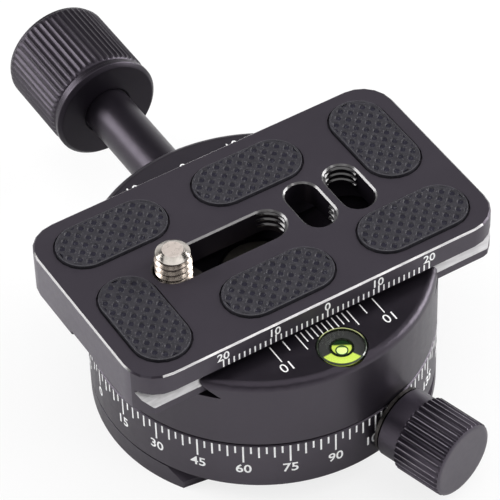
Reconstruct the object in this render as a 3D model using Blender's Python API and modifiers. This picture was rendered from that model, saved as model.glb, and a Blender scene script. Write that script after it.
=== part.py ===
"""Panoramic tripod head: a dovetail clamp that turns on a dial base, with its camera plate in it."""

import math

import bmesh
import bpy
from mathutils import Matrix, Vector

# Whole head, in metres. Z runs up the turning axis from the base's underside,
# X runs along the camera plate, and Y points to the clamp knob.
BASE_TURN = math.radians(-8.0)
SEAT_GAP = 0.0003
OVERRUN = 0.0020

# Base plate with its dovetail flats and its post
FLANGE_HEIGHT = 0.0040
BASE_DOVETAIL_WIDTH = 0.0380
BASE_LIP_HEIGHT = 0.0015
POST_RADIUS = 0.0117
POST_HEIGHT = 0.0110
BUSH_RADIUS = 0.0075
BUSH_BORE_RADIUS = 0.0046
BUSH_HEIGHT = 0.0087
BUSH_FLANGE_RADIUS = 0.0090
BUSH_FLANGE_HEIGHT = 0.0012
BASE_SCREW_SHIFT = 0.0005
BASE_SCREW_ANGLES = [math.radians(turn) for turn in (32.0, 148.0, 212.0, 328.0)]
BASE_SCREW_RADIUS = 0.0015
BASE_SCREW_HEAD_RADIUS = 0.0028
BASE_SCREW_RIM = 0.0002
BASE_SCREW_LENGTH = 0.0087
BASE_SCREW_KEY = 0.0020
BASE_SCREW_KEY_DEPTH = 0.0011

# Dial ring
DIAL_HEIGHT = 0.0099
DIAL_BORE_RADIUS = 0.0180
DIAL_CHAMFER = 0.0002

# Clamp body and moving jaw
CLAMP_HEIGHT = 0.0144
CLAMP_EDGE_RADIUS = 0.0015
CLAMP_CHAMFER = 0.0002
SLOT_DEPTH = 0.0035
JAW_LAND_HEIGHT = 0.0004
JAW_WIDTH = 0.0116
JAW_SLACK = 0.00035
JAW_PARTING_GAP = 0.0006
JAW_TRAVEL = 0.0040
SKIRT_LENGTH = 0.0085
PIVOT_BORE_RADIUS = 0.0043
PIVOT_HEAD_RADIUS = 0.0068
PIVOT_HEAD_HEIGHT = 0.0035
PIVOT_HEAD_CHAMFER = 0.0003
PIVOT_KEY = 0.0060
PIVOT_KEY_DEPTH = 0.0022
PIVOT_THREAD_RADIUS = 0.0030
PIVOT_THREAD_LENGTH = 0.0051
PIVOT_WASHER_THICKNESS = 0.0004
SLIP_WASHER_THICKNESS = 0.0005
GUIDE_PIN_RADIUS = 0.0020
GUIDE_PIN_PLACE = 0.0120
GUIDE_PIN_DROP = 0.0089
GUIDE_PIN_IN_JAW = 0.0034
GUIDE_PIN_IN_CLAMP = 0.0150

# Round level in the fixed jaw
LEVEL_INSET = 0.0048
LEVEL_RADIUS = 0.0041
LEVEL_CUP_RADIUS = 0.0030
LEVEL_CUP_WALL = 0.0005
LEVEL_RIM_THICKNESS = 0.0010
LEVEL_STAND = 0.0002
LEVEL_CUP_DEPTH = 0.0017
LEVEL_EDGE = 0.0001
LEVEL_SEAT_THICKNESS = 0.0005
BUBBLE_RADIUS = 0.0011
BUBBLE_HEIGHT = 0.0006

# Clamp knob
KNOB_DROP = 0.0077
KNOB_RADIUS = 0.00995
KNOB_LENGTH = 0.0187
KNOB_STAND = 0.0215
KNOB_FLUTES = 56
KNOB_FLUTE_DEPTH = 0.00035
KNOB_FACE_CHAMFER = 0.0007
KNOB_RIM = 0.0007
KNOB_GROOVE_WIDTH = 0.0009
KNOB_GROOVE_DEPTH = 0.0005
KNOB_GROOVE_SLOPE = 0.0002
KNOB_RECESS_RADIUS = 0.0054
KNOB_RECESS_DEPTH = 0.0008
SLEEVE_RADIUS = 0.00435
SLEEVE_IN_KNOB = 0.0080
CLAMP_SCREW_RADIUS = 0.0030
CLAMP_SCREW_WALL = 0.0018
CLAMP_SCREW_IN_KNOB = 0.0120
SPOT_FACE_RADIUS = 0.0057
SPOT_FACE_DEPTH = 0.0012
KNOB_WASHER_THICKNESS = 0.0006

# Camera plate
PLATE_LENGTH = 0.0704
PLATE_WIDTH = 0.0400
PLATE_HEIGHT = 0.0089
PLATE_SHIFT = 0.0007
PLATE_CORNER_RADIUS = 0.0060
PLATE_CHAMFER = 0.0006
DECK_HEIGHT = 0.0041
FOOT_WIDTH = 0.0380
FOOT_LIP_HEIGHT = 0.00155
FOOT_GAP = 0.0006
GROOVE_DEPTH = 0.0026
CHANNEL_WIDTH = 0.0070
CHANNEL_DEPTH = 0.0010
POCKET_WIDTH = 0.0134
POCKET_DEPTH = 0.0042
LONG_SLOT_WIDTH = 0.0067
LONG_SLOT_INSET = 0.0144
SHORT_SLOT_WIDTH = 0.0060
SHORT_SLOT_LENGTH = 0.0112
SHORT_SLOT_INSET = 0.0179
SHORT_SLOT_PITCH = 0.0078
SLOT_WALL = 0.0023
PAD_WIDTH = 0.0099
PAD_LENGTH = 0.0202
PAD_THICKNESS = 0.0009
PAD_STAND = 0.0005
PAD_CHAMFER = 0.0002
PAD_END_INSET = 0.0133
PAD_END_OFFSET = 0.0123
PAD_MIDDLE_SHIFT = 0.000575
PAD_MIDDLE_OFFSET = 0.0122
PAD_CROSS_INSET = 0.0081
PAD_CROSS_OFFSET = 0.0072

# Camera screw
STUD_RADIUS = 0.003175
STUD_STAND = 0.0044
STUD_TIP_RADIUS = 0.0021
STUD_TIP_HEIGHT = 0.0010
STUD_REST_GAP = 0.0002
SCREW_HEAD_RADIUS = 0.0062
SCREW_HEAD_HEIGHT = 0.0024
SCREW_HEAD_CHAMFER = 0.0003
SCREW_SLOT_WIDTH = 0.0016
SCREW_SLOT_DEPTH = 0.0013
SCREW_WASHER_THICKNESS = 0.0005
SCREW_WASHER_RADIUS = 0.0058

# Pan lock
LOCK_TURN = math.radians(-73.6)
LOCK_HEIGHT = 0.0092
LOCK_KNOB_RADIUS = 0.0069
LOCK_COLLAR_RADIUS = 0.0063
LOCK_COLLAR_LENGTH = 0.0037
LOCK_STEP = 0.0003
LOCK_KNOB_LENGTH = 0.0133
LOCK_KNOB_CHAMFER = 0.0004
LOCK_KNOB_FLUTES = 36
LOCK_FLUTE_DEPTH = 0.0003
LOCK_WASHER_THICKNESS = 0.0006
LOCK_WASHER_RADIUS = 0.0061
LOCK_PLUG_LENGTH = 0.0047
LOCK_SCREW_RADIUS = 0.0025
LOCK_SCREW_IN_KNOB = 0.0095

# Facets
LARGE_STEPS = 60
MIDDLE_STEPS = 30
SMALL_STEPS = 20
CORNER_STEPS = 5
EDGE_STEPS = 3
KEY_SIDES = 6
SHARP_ANGLE = math.radians(28.0)
CHAMFER_ANGLE = math.radians(60.0)
QUARTER_TURN = math.radians(90.0)
WELD_DISTANCE = 0.00001

# Heights that the pieces share
DIAL_BOTTOM = FLANGE_HEIGHT + SEAT_GAP
DIAL_TOP = DIAL_BOTTOM + DIAL_HEIGHT
CLAMP_BOTTOM = DIAL_TOP + SEAT_GAP
CLAMP_TOP = CLAMP_BOTTOM + CLAMP_HEIGHT
SLOT_FLOOR = CLAMP_TOP - SLOT_DEPTH
PLATE_BOTTOM = SLOT_FLOOR + FOOT_GAP
PLATE_TOP = PLATE_BOTTOM + PLATE_HEIGHT
POST_TOP = FLANGE_HEIGHT + POST_HEIGHT
CAVITY_ROOF = POST_TOP + SLIP_WASHER_THICKNESS + 2 * SEAT_GAP
SKIRT_RADIUS = DIAL_BORE_RADIUS - SEAT_GAP
PIVOT_HEAD_TOP = SLOT_FLOOR - SEAT_GAP
PIVOT_HEAD_BOTTOM = PIVOT_HEAD_TOP - PIVOT_HEAD_HEIGHT
COUNTERBORE_FLOOR = PIVOT_HEAD_BOTTOM - PIVOT_WASHER_THICKNESS - 2 * SEAT_GAP
COUNTERBORE_RADIUS = PIVOT_HEAD_RADIUS + SEAT_GAP
KNOB_HEIGHT = CLAMP_TOP - KNOB_DROP
GUIDE_PIN_HEIGHT = CLAMP_TOP - GUIDE_PIN_DROP

# Places across the clamp that the pieces share: the jaws' slopes follow the
# plate's foot, and the whole head follows the jaws
JAW_LAND_BOTTOM = CLAMP_TOP - JAW_LAND_HEIGHT
FOOT_LIP_TOP = PLATE_BOTTOM + FOOT_LIP_HEIGHT
JAW_LAND_PLACE = FOOT_WIDTH / 2 + FOOT_LIP_TOP - JAW_LAND_BOTTOM + JAW_SLACK
JAW_FOOT_PLACE = JAW_LAND_PLACE + JAW_LAND_BOTTOM - SLOT_FLOOR
CLAMP_REAR_WALL = JAW_FOOT_PLACE - JAW_PARTING_GAP
HEAD_RADIUS = JAW_LAND_PLACE + JAW_WIDTH
LEVEL_PLACE = HEAD_RADIUS - LEVEL_INSET
BASE_SCREW_CIRCLE_RADIUS = (DIAL_BORE_RADIUS + HEAD_RADIUS) / 2 - BASE_SCREW_SHIFT
CLAMP_SCREW_START = COUNTERBORE_RADIUS + CLAMP_SCREW_WALL
KNOB_PLACE = HEAD_RADIUS + KNOB_STAND
SPOT_FACE_PLACE = HEAD_RADIUS - SPOT_FACE_DEPTH
SLEEVE_START = SPOT_FACE_PLACE + KNOB_WASHER_THICKNESS + 2 * SEAT_GAP

# The open jaw clears the pan lock under it
JAW_RELIEF_TOP = LOCK_HEIGHT + LOCK_COLLAR_RADIUS + SEAT_GAP
JAW_RELIEF_RADIUS = HEAD_RADIUS - JAW_TRAVEL - SEAT_GAP

# Places along the camera plate that the pieces share
PAD_END_PLACE = PLATE_LENGTH / 2 - PAD_END_INSET
PAD_CROSS_PLACE = PLATE_LENGTH / 2 - PAD_CROSS_INSET
PAD_MIDDLE_PLACE = (
    PAD_CROSS_PLACE - PAD_WIDTH / 2 - PAD_END_PLACE + PAD_LENGTH / 2
) / 2 - PAD_MIDDLE_SHIFT
SHORT_SLOT_LAST = PLATE_LENGTH / 2 - SHORT_SLOT_INSET
SHORT_SLOT_PLACES = (SHORT_SLOT_LAST - SHORT_SLOT_PITCH, SHORT_SLOT_LAST)
LONG_SLOT_START = LONG_SLOT_INSET - PLATE_LENGTH / 2
LONG_SLOT_END = SHORT_SLOT_PLACES[0] - SHORT_SLOT_WIDTH / 2 - SLOT_WALL
LONG_SLOT_LENGTH = LONG_SLOT_END - LONG_SLOT_START
LONG_SLOT_PLACE = (LONG_SLOT_START + LONG_SLOT_END) / 2
STUD_PLACE = PLATE_SHIFT + LONG_SLOT_START + LONG_SLOT_WIDTH / 2 + STUD_REST_GAP

# Colours of the finishes, with their roughness and metallic values
FINISHES = {
    "black_anodised": ((0.060, 0.056, 0.066), 0.45, 0.6),
    "knob_black": ((0.050, 0.047, 0.056), 0.38, 0.6),
    "lock_black": ((0.035, 0.033, 0.040), 0.40, 0.5),
    "steel": ((0.560, 0.550, 0.530), 0.28, 1.0),
    "dark_steel": ((0.180, 0.170, 0.165), 0.40, 1.0),
    "brass": ((0.520, 0.380, 0.180), 0.35, 1.0),
    "rubber": ((0.040, 0.038, 0.043), 0.80, 0.0),
    "white_nylon": ((0.700, 0.690, 0.660), 0.55, 0.0),
    "clear_acrylic": ((0.900, 0.950, 0.850), 0.08, 0.0),
    "lime_liquid": ((0.600, 0.800, 0.080), 0.20, 0.0),
    "bubble": ((0.850, 0.950, 0.500), 0.10, 0.0),
}

ALONG_X = Matrix.Rotation(math.radians(90.0), 4, "Y")
ALONG_Y = Matrix.Rotation(math.radians(-90.0), 4, "X")


def clear_scene():
    """Empties the scene that the script runs in."""
    for old in list(bpy.data.objects):
        bpy.data.objects.remove(old, do_unlink=True)


def add_collection(name):
    """Adds a collection to the scene."""
    group = bpy.data.collections.new(name)
    bpy.context.scene.collection.children.link(group)
    return group


def add_material(name, finish):
    """Adds a Principled material for one piece."""
    colour, roughness, metallic = FINISHES[finish]
    material = bpy.data.materials.new(name)
    material.use_nodes = True
    shader = material.node_tree.nodes["Principled BSDF"]
    shader.inputs["Base Color"].default_value = (*colour, 1.0)
    shader.inputs["Roughness"].default_value = roughness
    shader.inputs["Metallic"].default_value = metallic
    material.diffuse_color = (*colour, 1.0)
    return material


def add_empty(name, group, place, turn=0.0, parent=None):
    """Adds an axis that pieces are parented to, turned about Z."""
    empty = bpy.data.objects.new(name, None)
    empty.empty_display_size = HEAD_RADIUS
    group.objects.link(empty)
    empty.parent = parent
    empty.location = place
    empty.rotation_euler = (0.0, 0.0, turn)
    return empty


def add_object(name, mesh, group, place, parent=None):
    """Adds a mesh object at a place under its axis."""
    obj = bpy.data.objects.new(name, mesh)
    group.objects.link(obj)
    obj.parent = parent
    obj.matrix_local = place
    return obj


def turned(name, group, profile, steps, place=Matrix.Identity(4), parent=None, closed=False):
    """Turns a profile of (radius, height) points, listed down its outer side, about Z."""
    work = bmesh.new()
    points = [work.verts.new((radius, 0.0, height)) for radius, height in profile]
    pairs = list(zip(points, points[1:]))
    if closed:
        pairs.append((points[-1], points[0]))
    for pair in pairs:
        work.edges.new(pair)
    mesh = bpy.data.meshes.new(name)
    work.to_mesh(mesh)
    work.free()
    obj = add_object(name, mesh, group, place, parent)
    screw = obj.modifiers.new("Turn", "SCREW")
    screw.axis = "Z"
    screw.steps = steps
    screw.render_steps = steps
    screw.use_merge_vertices = True
    screw.merge_threshold = WELD_DISTANCE
    return obj


def bar(name, group, radius, start, end, steps, place=Matrix.Identity(4), parent=None):
    """Makes a round bar, or with few steps a key's bar, along Z between two heights."""
    work = bmesh.new()
    middle = Matrix.Translation((0.0, 0.0, (start + end) / 2))
    bmesh.ops.create_cone(
        work,
        cap_ends=True,
        segments=steps,
        radius1=radius,
        radius2=radius,
        depth=end - start,
        matrix=middle,
    )
    mesh = bpy.data.meshes.new(name)
    work.to_mesh(mesh)
    work.free()
    return add_object(name, mesh, group, place, parent)


def box(name, group, low, high, parent=None):
    """Makes a box between two corners."""
    work = bmesh.new()
    low, high = Vector(low), Vector(high)
    size = Matrix.Diagonal((*(high - low), 1.0))
    bmesh.ops.create_cube(work, size=1.0, matrix=Matrix.Translation((low + high) / 2) @ size)
    mesh = bpy.data.meshes.new(name)
    work.to_mesh(mesh)
    work.free()
    return add_object(name, mesh, group, Matrix.Identity(4), parent)


def ring(name, group, inner, outer, start, end, steps, place=Matrix.Identity(4), parent=None):
    """Makes a flat ring, such as a washer, along Z between two heights."""
    profile = [(inner, end), (outer, end), (outer, start), (inner, start)]
    return turned(name, group, profile, steps, place, parent, closed=True)


def prism(name, group, outline, start, end, place=Matrix.Identity(4), parent=None, chamfer=0.0):
    """Extrudes a flat outline of (x, y) points along Z, with its end edges chamfered alike."""
    curve = bpy.data.curves.new(name, "CURVE")
    curve.dimensions = "2D"
    curve.fill_mode = "BOTH"
    curve.extrude = (end - start) / 2
    spline = curve.splines.new("POLY")
    spline.points.add(len(outline) - 1)
    for point, (x, y) in zip(spline.points, outline):
        point.co = (x, y, 0.0, 1.0)
    spline.use_cyclic_u = True
    flat = add_object(f"{name}_outline", curve, group, Matrix.Identity(4))
    bpy.context.view_layer.update()
    graph = bpy.context.evaluated_depsgraph_get()
    mesh = bpy.data.meshes.new_from_object(flat.evaluated_get(graph))
    mesh.name = name
    bpy.data.objects.remove(flat, do_unlink=True)
    work = bmesh.new()
    work.from_mesh(mesh)
    bmesh.ops.remove_doubles(work, verts=work.verts, dist=WELD_DISTANCE)
    bmesh.ops.translate(work, verts=work.verts, vec=(0.0, 0.0, (start + end) / 2))
    bmesh.ops.recalc_face_normals(work, faces=work.faces)
    work.to_mesh(mesh)
    work.free()
    obj = add_object(name, mesh, group, place, parent)
    if chamfer:
        bevel = obj.modifiers.new("Chamfer", "BEVEL")
        bevel.width = chamfer
        bevel.segments = 1
        bevel.limit_method = "ANGLE"
        bevel.angle_limit = CHAMFER_ANGLE
    return obj


def fluted(name, group, stations, flutes, depth, place, parent):
    """Builds a knurled grip along Z from (height, radius, has flutes) stations.

    Crests and valleys take turns round it, and a plain station has neither.
    """
    work = bmesh.new()
    points = bmesh.ops.create_circle(work, segments=2 * flutes, radius=stations[0][1])["verts"]
    rim = work.edges[:]
    for station, (height, radius, has_flutes) in enumerate(stations):
        if station:
            grown = bmesh.ops.extrude_edge_only(work, edges=rim)["geom"]
            points = [part for part in grown if isinstance(part, bmesh.types.BMVert)]
            rim = [edge for edge in work.edges if all(point in points for point in edge.verts)]
        points.sort(key=lambda point: math.atan2(point.co.y, point.co.x) % math.tau)
        for number, point in enumerate(points):
            angle = math.pi * number / flutes
            reach = radius - depth if has_flutes and number % 2 else radius
            point.co = (reach * math.cos(angle), reach * math.sin(angle), height)
    bmesh.ops.holes_fill(work, edges=work.edges)
    bmesh.ops.recalc_face_normals(work, faces=work.faces)
    mesh = bpy.data.meshes.new(name)
    work.to_mesh(mesh)
    work.free()
    return add_object(name, mesh, group, place, parent)


def arc(centre, radius, first, last, steps):
    """Lists the points of an arc between two angles in degrees."""
    points = []
    for number in range(steps + 1):
        angle = math.radians(first + (last - first) * number / steps)
        points.append((centre[0] + radius * math.cos(angle), centre[1] + radius * math.sin(angle)))
    return points


def stadium(width, length, turn=0.0):
    """Lists the outline of a slot or pad with round ends, lying along X before its turn."""
    reach = (length - width) / 2
    outline = arc((reach, 0.0), width / 2, -90.0, 90.0, 2 * CORNER_STEPS)
    outline += arc((-reach, 0.0), width / 2, 90.0, 270.0, 2 * CORNER_STEPS)
    cosine, sine = math.cos(turn), math.sin(turn)
    return [(x * cosine - y * sine, x * sine + y * cosine) for x, y in outline]


def rounded_rectangle(length, width, radius):
    """Lists the outline of a rectangle with round corners."""
    x, y = length / 2 - radius, width / 2 - radius
    corners = (((x, y), 0.0), ((-x, y), 90.0), ((-x, -y), 180.0), ((x, -y), 270.0))
    outline = []
    for centre, first in corners:
        outline += arc(centre, radius, first, first + 90.0, CORNER_STEPS)
    return outline


def section_along_x(name, group, section, half_length, parent=None):
    """Extrudes a section of (y, z) points along X, to both sides of the middle."""
    turn = Matrix(((0, 0, 1, 0), (1, 0, 0, 0), (0, 1, 0, 0), (0, 0, 0, 1)))
    return prism(name, group, section, -half_length, half_length, turn, parent)


def hide_cutter(cutter):
    """Marks a cutter, so that it never renders."""
    cutter.hide_render = True
    cutter.display_type = "WIRE"


def cut(obj, cutters, operation="DIFFERENCE"):
    """Adds one Boolean for each cutter."""
    for cutter in cutters:
        hide_cutter(cutter)
        boolean = obj.modifiers.new(cutter.name, "BOOLEAN")
        boolean.operation = operation
        boolean.solver = "EXACT"
        boolean.object = cutter


def finish(obj, finish_name):
    """Applies the modifiers, sets the shading and gives the piece its own material."""
    bpy.context.view_layer.update()
    graph = bpy.context.evaluated_depsgraph_get()
    mesh = bpy.data.meshes.new_from_object(obj.evaluated_get(graph))
    mesh.name = obj.name
    obj.modifiers.clear()
    obj.data = mesh
    mesh.materials.clear()
    mesh.materials.append(add_material(obj.name, finish_name))
    mesh.shade_smooth()
    mesh.set_sharp_from_angle(angle=SHARP_ANGLE)
    return obj


def at(x, y, z):
    """Gives the place matrix of a point."""
    return Matrix.Translation(Vector((x, y, z)))


def make_base_plate(parts, cutters, axis):
    """Makes the flange with its dovetail flats, its post and its bores."""
    bush_hole = BUSH_RADIUS + SEAT_GAP
    bush_roof = SEAT_GAP + BUSH_HEIGHT + SEAT_GAP
    flange_hole = BUSH_FLANGE_RADIUS + SEAT_GAP
    flange_roof = SEAT_GAP + BUSH_FLANGE_HEIGHT
    thread_hole = PIVOT_THREAD_RADIUS + SEAT_GAP
    profile = [
        (thread_hole, POST_TOP),
        (POST_RADIUS, POST_TOP),
        (POST_RADIUS, FLANGE_HEIGHT),
        (HEAD_RADIUS, FLANGE_HEIGHT),
        (HEAD_RADIUS, 0.0),
        (flange_hole, 0.0),
        (flange_hole, flange_roof),
        (bush_hole, flange_roof),
        (bush_hole, bush_roof),
        (thread_hole, bush_roof),
    ]
    plate = turned("base_plate", parts, profile, LARGE_STEPS, parent=axis, closed=True)
    lip = BASE_DOVETAIL_WIDTH / 2
    slope = FLANGE_HEIGHT + OVERRUN - BASE_LIP_HEIGHT
    flats = []
    for side in (1, -1):
        section = [
            (side * lip, -OVERRUN),
            (side * lip, BASE_LIP_HEIGHT),
            (side * (lip - slope), FLANGE_HEIGHT + OVERRUN),
            (side * (HEAD_RADIUS + OVERRUN), FLANGE_HEIGHT + OVERRUN),
            (side * (HEAD_RADIUS + OVERRUN), -OVERRUN),
        ]
        flats.append(
            section_along_x(f"flat_cutter_{side}", cutters, section, HEAD_RADIUS + OVERRUN, axis)
        )
    head = BASE_SCREW_HEAD_RADIUS + SEAT_GAP
    shank = BASE_SCREW_RADIUS + SEAT_GAP
    rim = SEAT_GAP + BASE_SCREW_RIM
    countersink = [
        (0.0, FLANGE_HEIGHT + OVERRUN),
        (shank, FLANGE_HEIGHT + OVERRUN),
        (shank, rim + head - shank),
        (head, rim),
        (head, -OVERRUN),
        (0.0, -OVERRUN),
    ]
    holes = []
    for number, angle in enumerate(BASE_SCREW_ANGLES):
        place = at(*screw_place(angle), 0.0)
        holes.append(turned(f"countersink_{number}", cutters, countersink, SMALL_STEPS, place, axis))
    cut(plate, flats + holes)
    finish(plate, "black_anodised")


def screw_place(angle):
    """Gives the place of a base screw on its circle."""
    return BASE_SCREW_CIRCLE_RADIUS * math.cos(angle), BASE_SCREW_CIRCLE_RADIUS * math.sin(angle)


def make_base_screws(parts, cutters, axis):
    """Makes the countersunk screws that hold the base plate to the dial ring."""
    head, shank = BASE_SCREW_HEAD_RADIUS, BASE_SCREW_RADIUS
    rim = SEAT_GAP + BASE_SCREW_RIM
    profile = [
        (0.0, SEAT_GAP + BASE_SCREW_LENGTH),
        (shank, SEAT_GAP + BASE_SCREW_LENGTH),
        (shank, rim + head - shank),
        (head, rim),
        (head, SEAT_GAP),
        (0.0, SEAT_GAP),
    ]
    for number, angle in enumerate(BASE_SCREW_ANGLES):
        place = at(*screw_place(angle), 0.0)
        screw = turned(f"base_screw_{number + 1}", parts, profile, SMALL_STEPS, place, axis)
        reach = BASE_SCREW_KEY / math.sqrt(3.0)
        depth = SEAT_GAP + BASE_SCREW_KEY_DEPTH
        cut(screw, [bar(f"base_key_{number}", cutters, reach, -OVERRUN, depth, KEY_SIDES, place, axis)])
        finish(screw, "dark_steel")


def make_tripod_bush(parts, axis):
    """Makes the steel bush that takes the tripod's stud."""
    top = SEAT_GAP + BUSH_HEIGHT
    flange_top = BUSH_FLANGE_HEIGHT
    profile = [
        (BUSH_BORE_RADIUS, top),
        (BUSH_RADIUS, top),
        (BUSH_RADIUS, flange_top),
        (BUSH_FLANGE_RADIUS, flange_top),
        (BUSH_FLANGE_RADIUS, SEAT_GAP),
        (BUSH_BORE_RADIUS + SEAT_GAP, SEAT_GAP),
        (BUSH_BORE_RADIUS, 2 * SEAT_GAP),
    ]
    bush = turned("tripod_bush", parts, profile, MIDDLE_STEPS, parent=axis, closed=True)
    finish(bush, "steel")


def make_dial_ring(parts, cutters, axis):
    """Makes the ring that carries the degree scale, with the cross bore of the pan lock."""
    profile = [
        (DIAL_BORE_RADIUS, DIAL_TOP),
        (HEAD_RADIUS - DIAL_CHAMFER, DIAL_TOP),
        (HEAD_RADIUS, DIAL_TOP - DIAL_CHAMFER),
        (HEAD_RADIUS, DIAL_BOTTOM),
        (DIAL_BORE_RADIUS, DIAL_BOTTOM),
    ]
    dial = turned("dial_ring", parts, profile, LARGE_STEPS, parent=axis, closed=True)
    holes = []
    roof = SEAT_GAP + BASE_SCREW_LENGTH + SEAT_GAP
    for number, angle in enumerate(BASE_SCREW_ANGLES):
        place = at(*screw_place(angle), 0.0)
        radius = BASE_SCREW_RADIUS + SEAT_GAP
        holes.append(bar(f"dial_hole_{number}", cutters, radius, -OVERRUN, roof, SMALL_STEPS, place, axis))
    bore = bar(
        "cross_bore_cutter",
        cutters,
        LOCK_SCREW_RADIUS + SEAT_GAP,
        DIAL_BORE_RADIUS - OVERRUN,
        HEAD_RADIUS + OVERRUN,
        SMALL_STEPS,
        lock_axis_matrix(),
    )
    cut(dial, holes + [bore])
    finish(dial, "black_anodised")


def lock_axis_matrix():
    """Gives the pan lock's axis: Z runs outwards from the turning axis."""
    return at(0.0, 0.0, LOCK_HEIGHT) @ Matrix.Rotation(LOCK_TURN, 4, "Z") @ ALONG_X


def make_pivot(parts, cutters, axis):
    """Makes the bolt on which the clamp turns, with its two washers."""
    shoulder_end = POST_TOP + SEAT_GAP
    shoulder = PIVOT_BORE_RADIUS - SEAT_GAP
    edge = PIVOT_HEAD_CHAMFER
    profile = [
        (0.0, PIVOT_HEAD_TOP),
        (PIVOT_HEAD_RADIUS - edge, PIVOT_HEAD_TOP),
        (PIVOT_HEAD_RADIUS, PIVOT_HEAD_TOP - edge),
        (PIVOT_HEAD_RADIUS, PIVOT_HEAD_BOTTOM),
        (shoulder, PIVOT_HEAD_BOTTOM),
        (shoulder, shoulder_end),
        (PIVOT_THREAD_RADIUS, shoulder_end),
        (PIVOT_THREAD_RADIUS, shoulder_end - PIVOT_THREAD_LENGTH),
        (0.0, shoulder_end - PIVOT_THREAD_LENGTH),
    ]
    bolt = turned("pivot_bolt", parts, profile, MIDDLE_STEPS, parent=axis)
    floor = PIVOT_HEAD_TOP - PIVOT_KEY_DEPTH
    roof = PIVOT_HEAD_TOP + OVERRUN
    cut(bolt, [bar("pivot_key", cutters, PIVOT_KEY / math.sqrt(3.0), floor, roof, KEY_SIDES, parent=axis)])
    finish(bolt, "steel")
    low = COUNTERBORE_FLOOR + SEAT_GAP
    top = low + PIVOT_WASHER_THICKNESS
    washer = ring(
        "pivot_washer", parts, PIVOT_BORE_RADIUS, PIVOT_HEAD_RADIUS, low, top, MIDDLE_STEPS, parent=axis
    )
    finish(washer, "steel")


def make_clamp_body(parts, cutters):
    """Makes the turning body with its fixed jaw, slot floor and skirt."""
    post_hole = POST_RADIUS + SEAT_GAP
    edge = CLAMP_EDGE_RADIUS
    profile = [(COUNTERBORE_RADIUS, CLAMP_TOP)]
    profile += reversed(arc((HEAD_RADIUS - edge, CLAMP_TOP - edge), edge, 0.0, 90.0, EDGE_STEPS))
    profile += [
        (HEAD_RADIUS, CLAMP_BOTTOM + CLAMP_CHAMFER),
        (HEAD_RADIUS - CLAMP_CHAMFER, CLAMP_BOTTOM),
        (SKIRT_RADIUS, CLAMP_BOTTOM),
        (SKIRT_RADIUS, CLAMP_BOTTOM - SKIRT_LENGTH),
        (post_hole, CLAMP_BOTTOM - SKIRT_LENGTH),
        (post_hole, CAVITY_ROOF),
        (PIVOT_BORE_RADIUS, CAVITY_ROOF),
        (PIVOT_BORE_RADIUS, COUNTERBORE_FLOOR),
        (COUNTERBORE_RADIUS, COUNTERBORE_FLOOR),
    ]
    body = turned("clamp_body", parts, profile, LARGE_STEPS, closed=True)
    reach = HEAD_RADIUS + OVERRUN
    section = [
        (-JAW_LAND_PLACE, CLAMP_TOP + OVERRUN),
        (-JAW_LAND_PLACE, JAW_LAND_BOTTOM),
        (-JAW_FOOT_PLACE, SLOT_FLOOR),
        (CLAMP_REAR_WALL, SLOT_FLOOR),
        (CLAMP_REAR_WALL, CLAMP_BOTTOM - OVERRUN),
        (reach, CLAMP_BOTTOM - OVERRUN),
        (reach, CLAMP_TOP + OVERRUN),
    ]
    tools = [section_along_x("slot_cutter", cutters, section, reach)]
    wide, narrow = LEVEL_RADIUS + SEAT_GAP, LEVEL_CUP_RADIUS + SEAT_GAP
    step, floor = level_step() - SEAT_GAP, level_seat_bottom() - SEAT_GAP
    pocket = [
        (0.0, CLAMP_TOP + OVERRUN),
        (wide, CLAMP_TOP + OVERRUN),
        (wide, step),
        (narrow, step),
        (narrow, floor),
        (0.0, floor),
    ]
    tools.append(turned("level_cutter", cutters, pocket, MIDDLE_STEPS, at(0.0, -LEVEL_PLACE, 0.0)))
    tools.append(
        bar(
            "screw_bore_cutter",
            cutters,
            CLAMP_SCREW_RADIUS + SEAT_GAP,
            CLAMP_SCREW_START - SEAT_GAP,
            CLAMP_REAR_WALL + OVERRUN,
            SMALL_STEPS,
            at(0.0, 0.0, KNOB_HEIGHT) @ ALONG_Y,
        )
    )
    for side in (-1, 1):
        tools.append(
            bar(
                f"pin_bore_cutter_{side}",
                cutters,
                GUIDE_PIN_RADIUS + SEAT_GAP,
                CLAMP_REAR_WALL - GUIDE_PIN_IN_CLAMP - SEAT_GAP,
                CLAMP_REAR_WALL + OVERRUN,
                SMALL_STEPS,
                at(side * GUIDE_PIN_PLACE, 0.0, GUIDE_PIN_HEIGHT) @ ALONG_Y,
            )
        )
    cut(body, tools)
    finish(body, "black_anodised")


def make_slip_washer(parts):
    """Makes the washer that the clamp turns on."""
    low = POST_TOP + SEAT_GAP
    washer = ring(
        "slip_washer", parts, PIVOT_BORE_RADIUS, POST_RADIUS, low, low + SLIP_WASHER_THICKNESS, MIDDLE_STEPS
    )
    finish(washer, "white_nylon")


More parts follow.
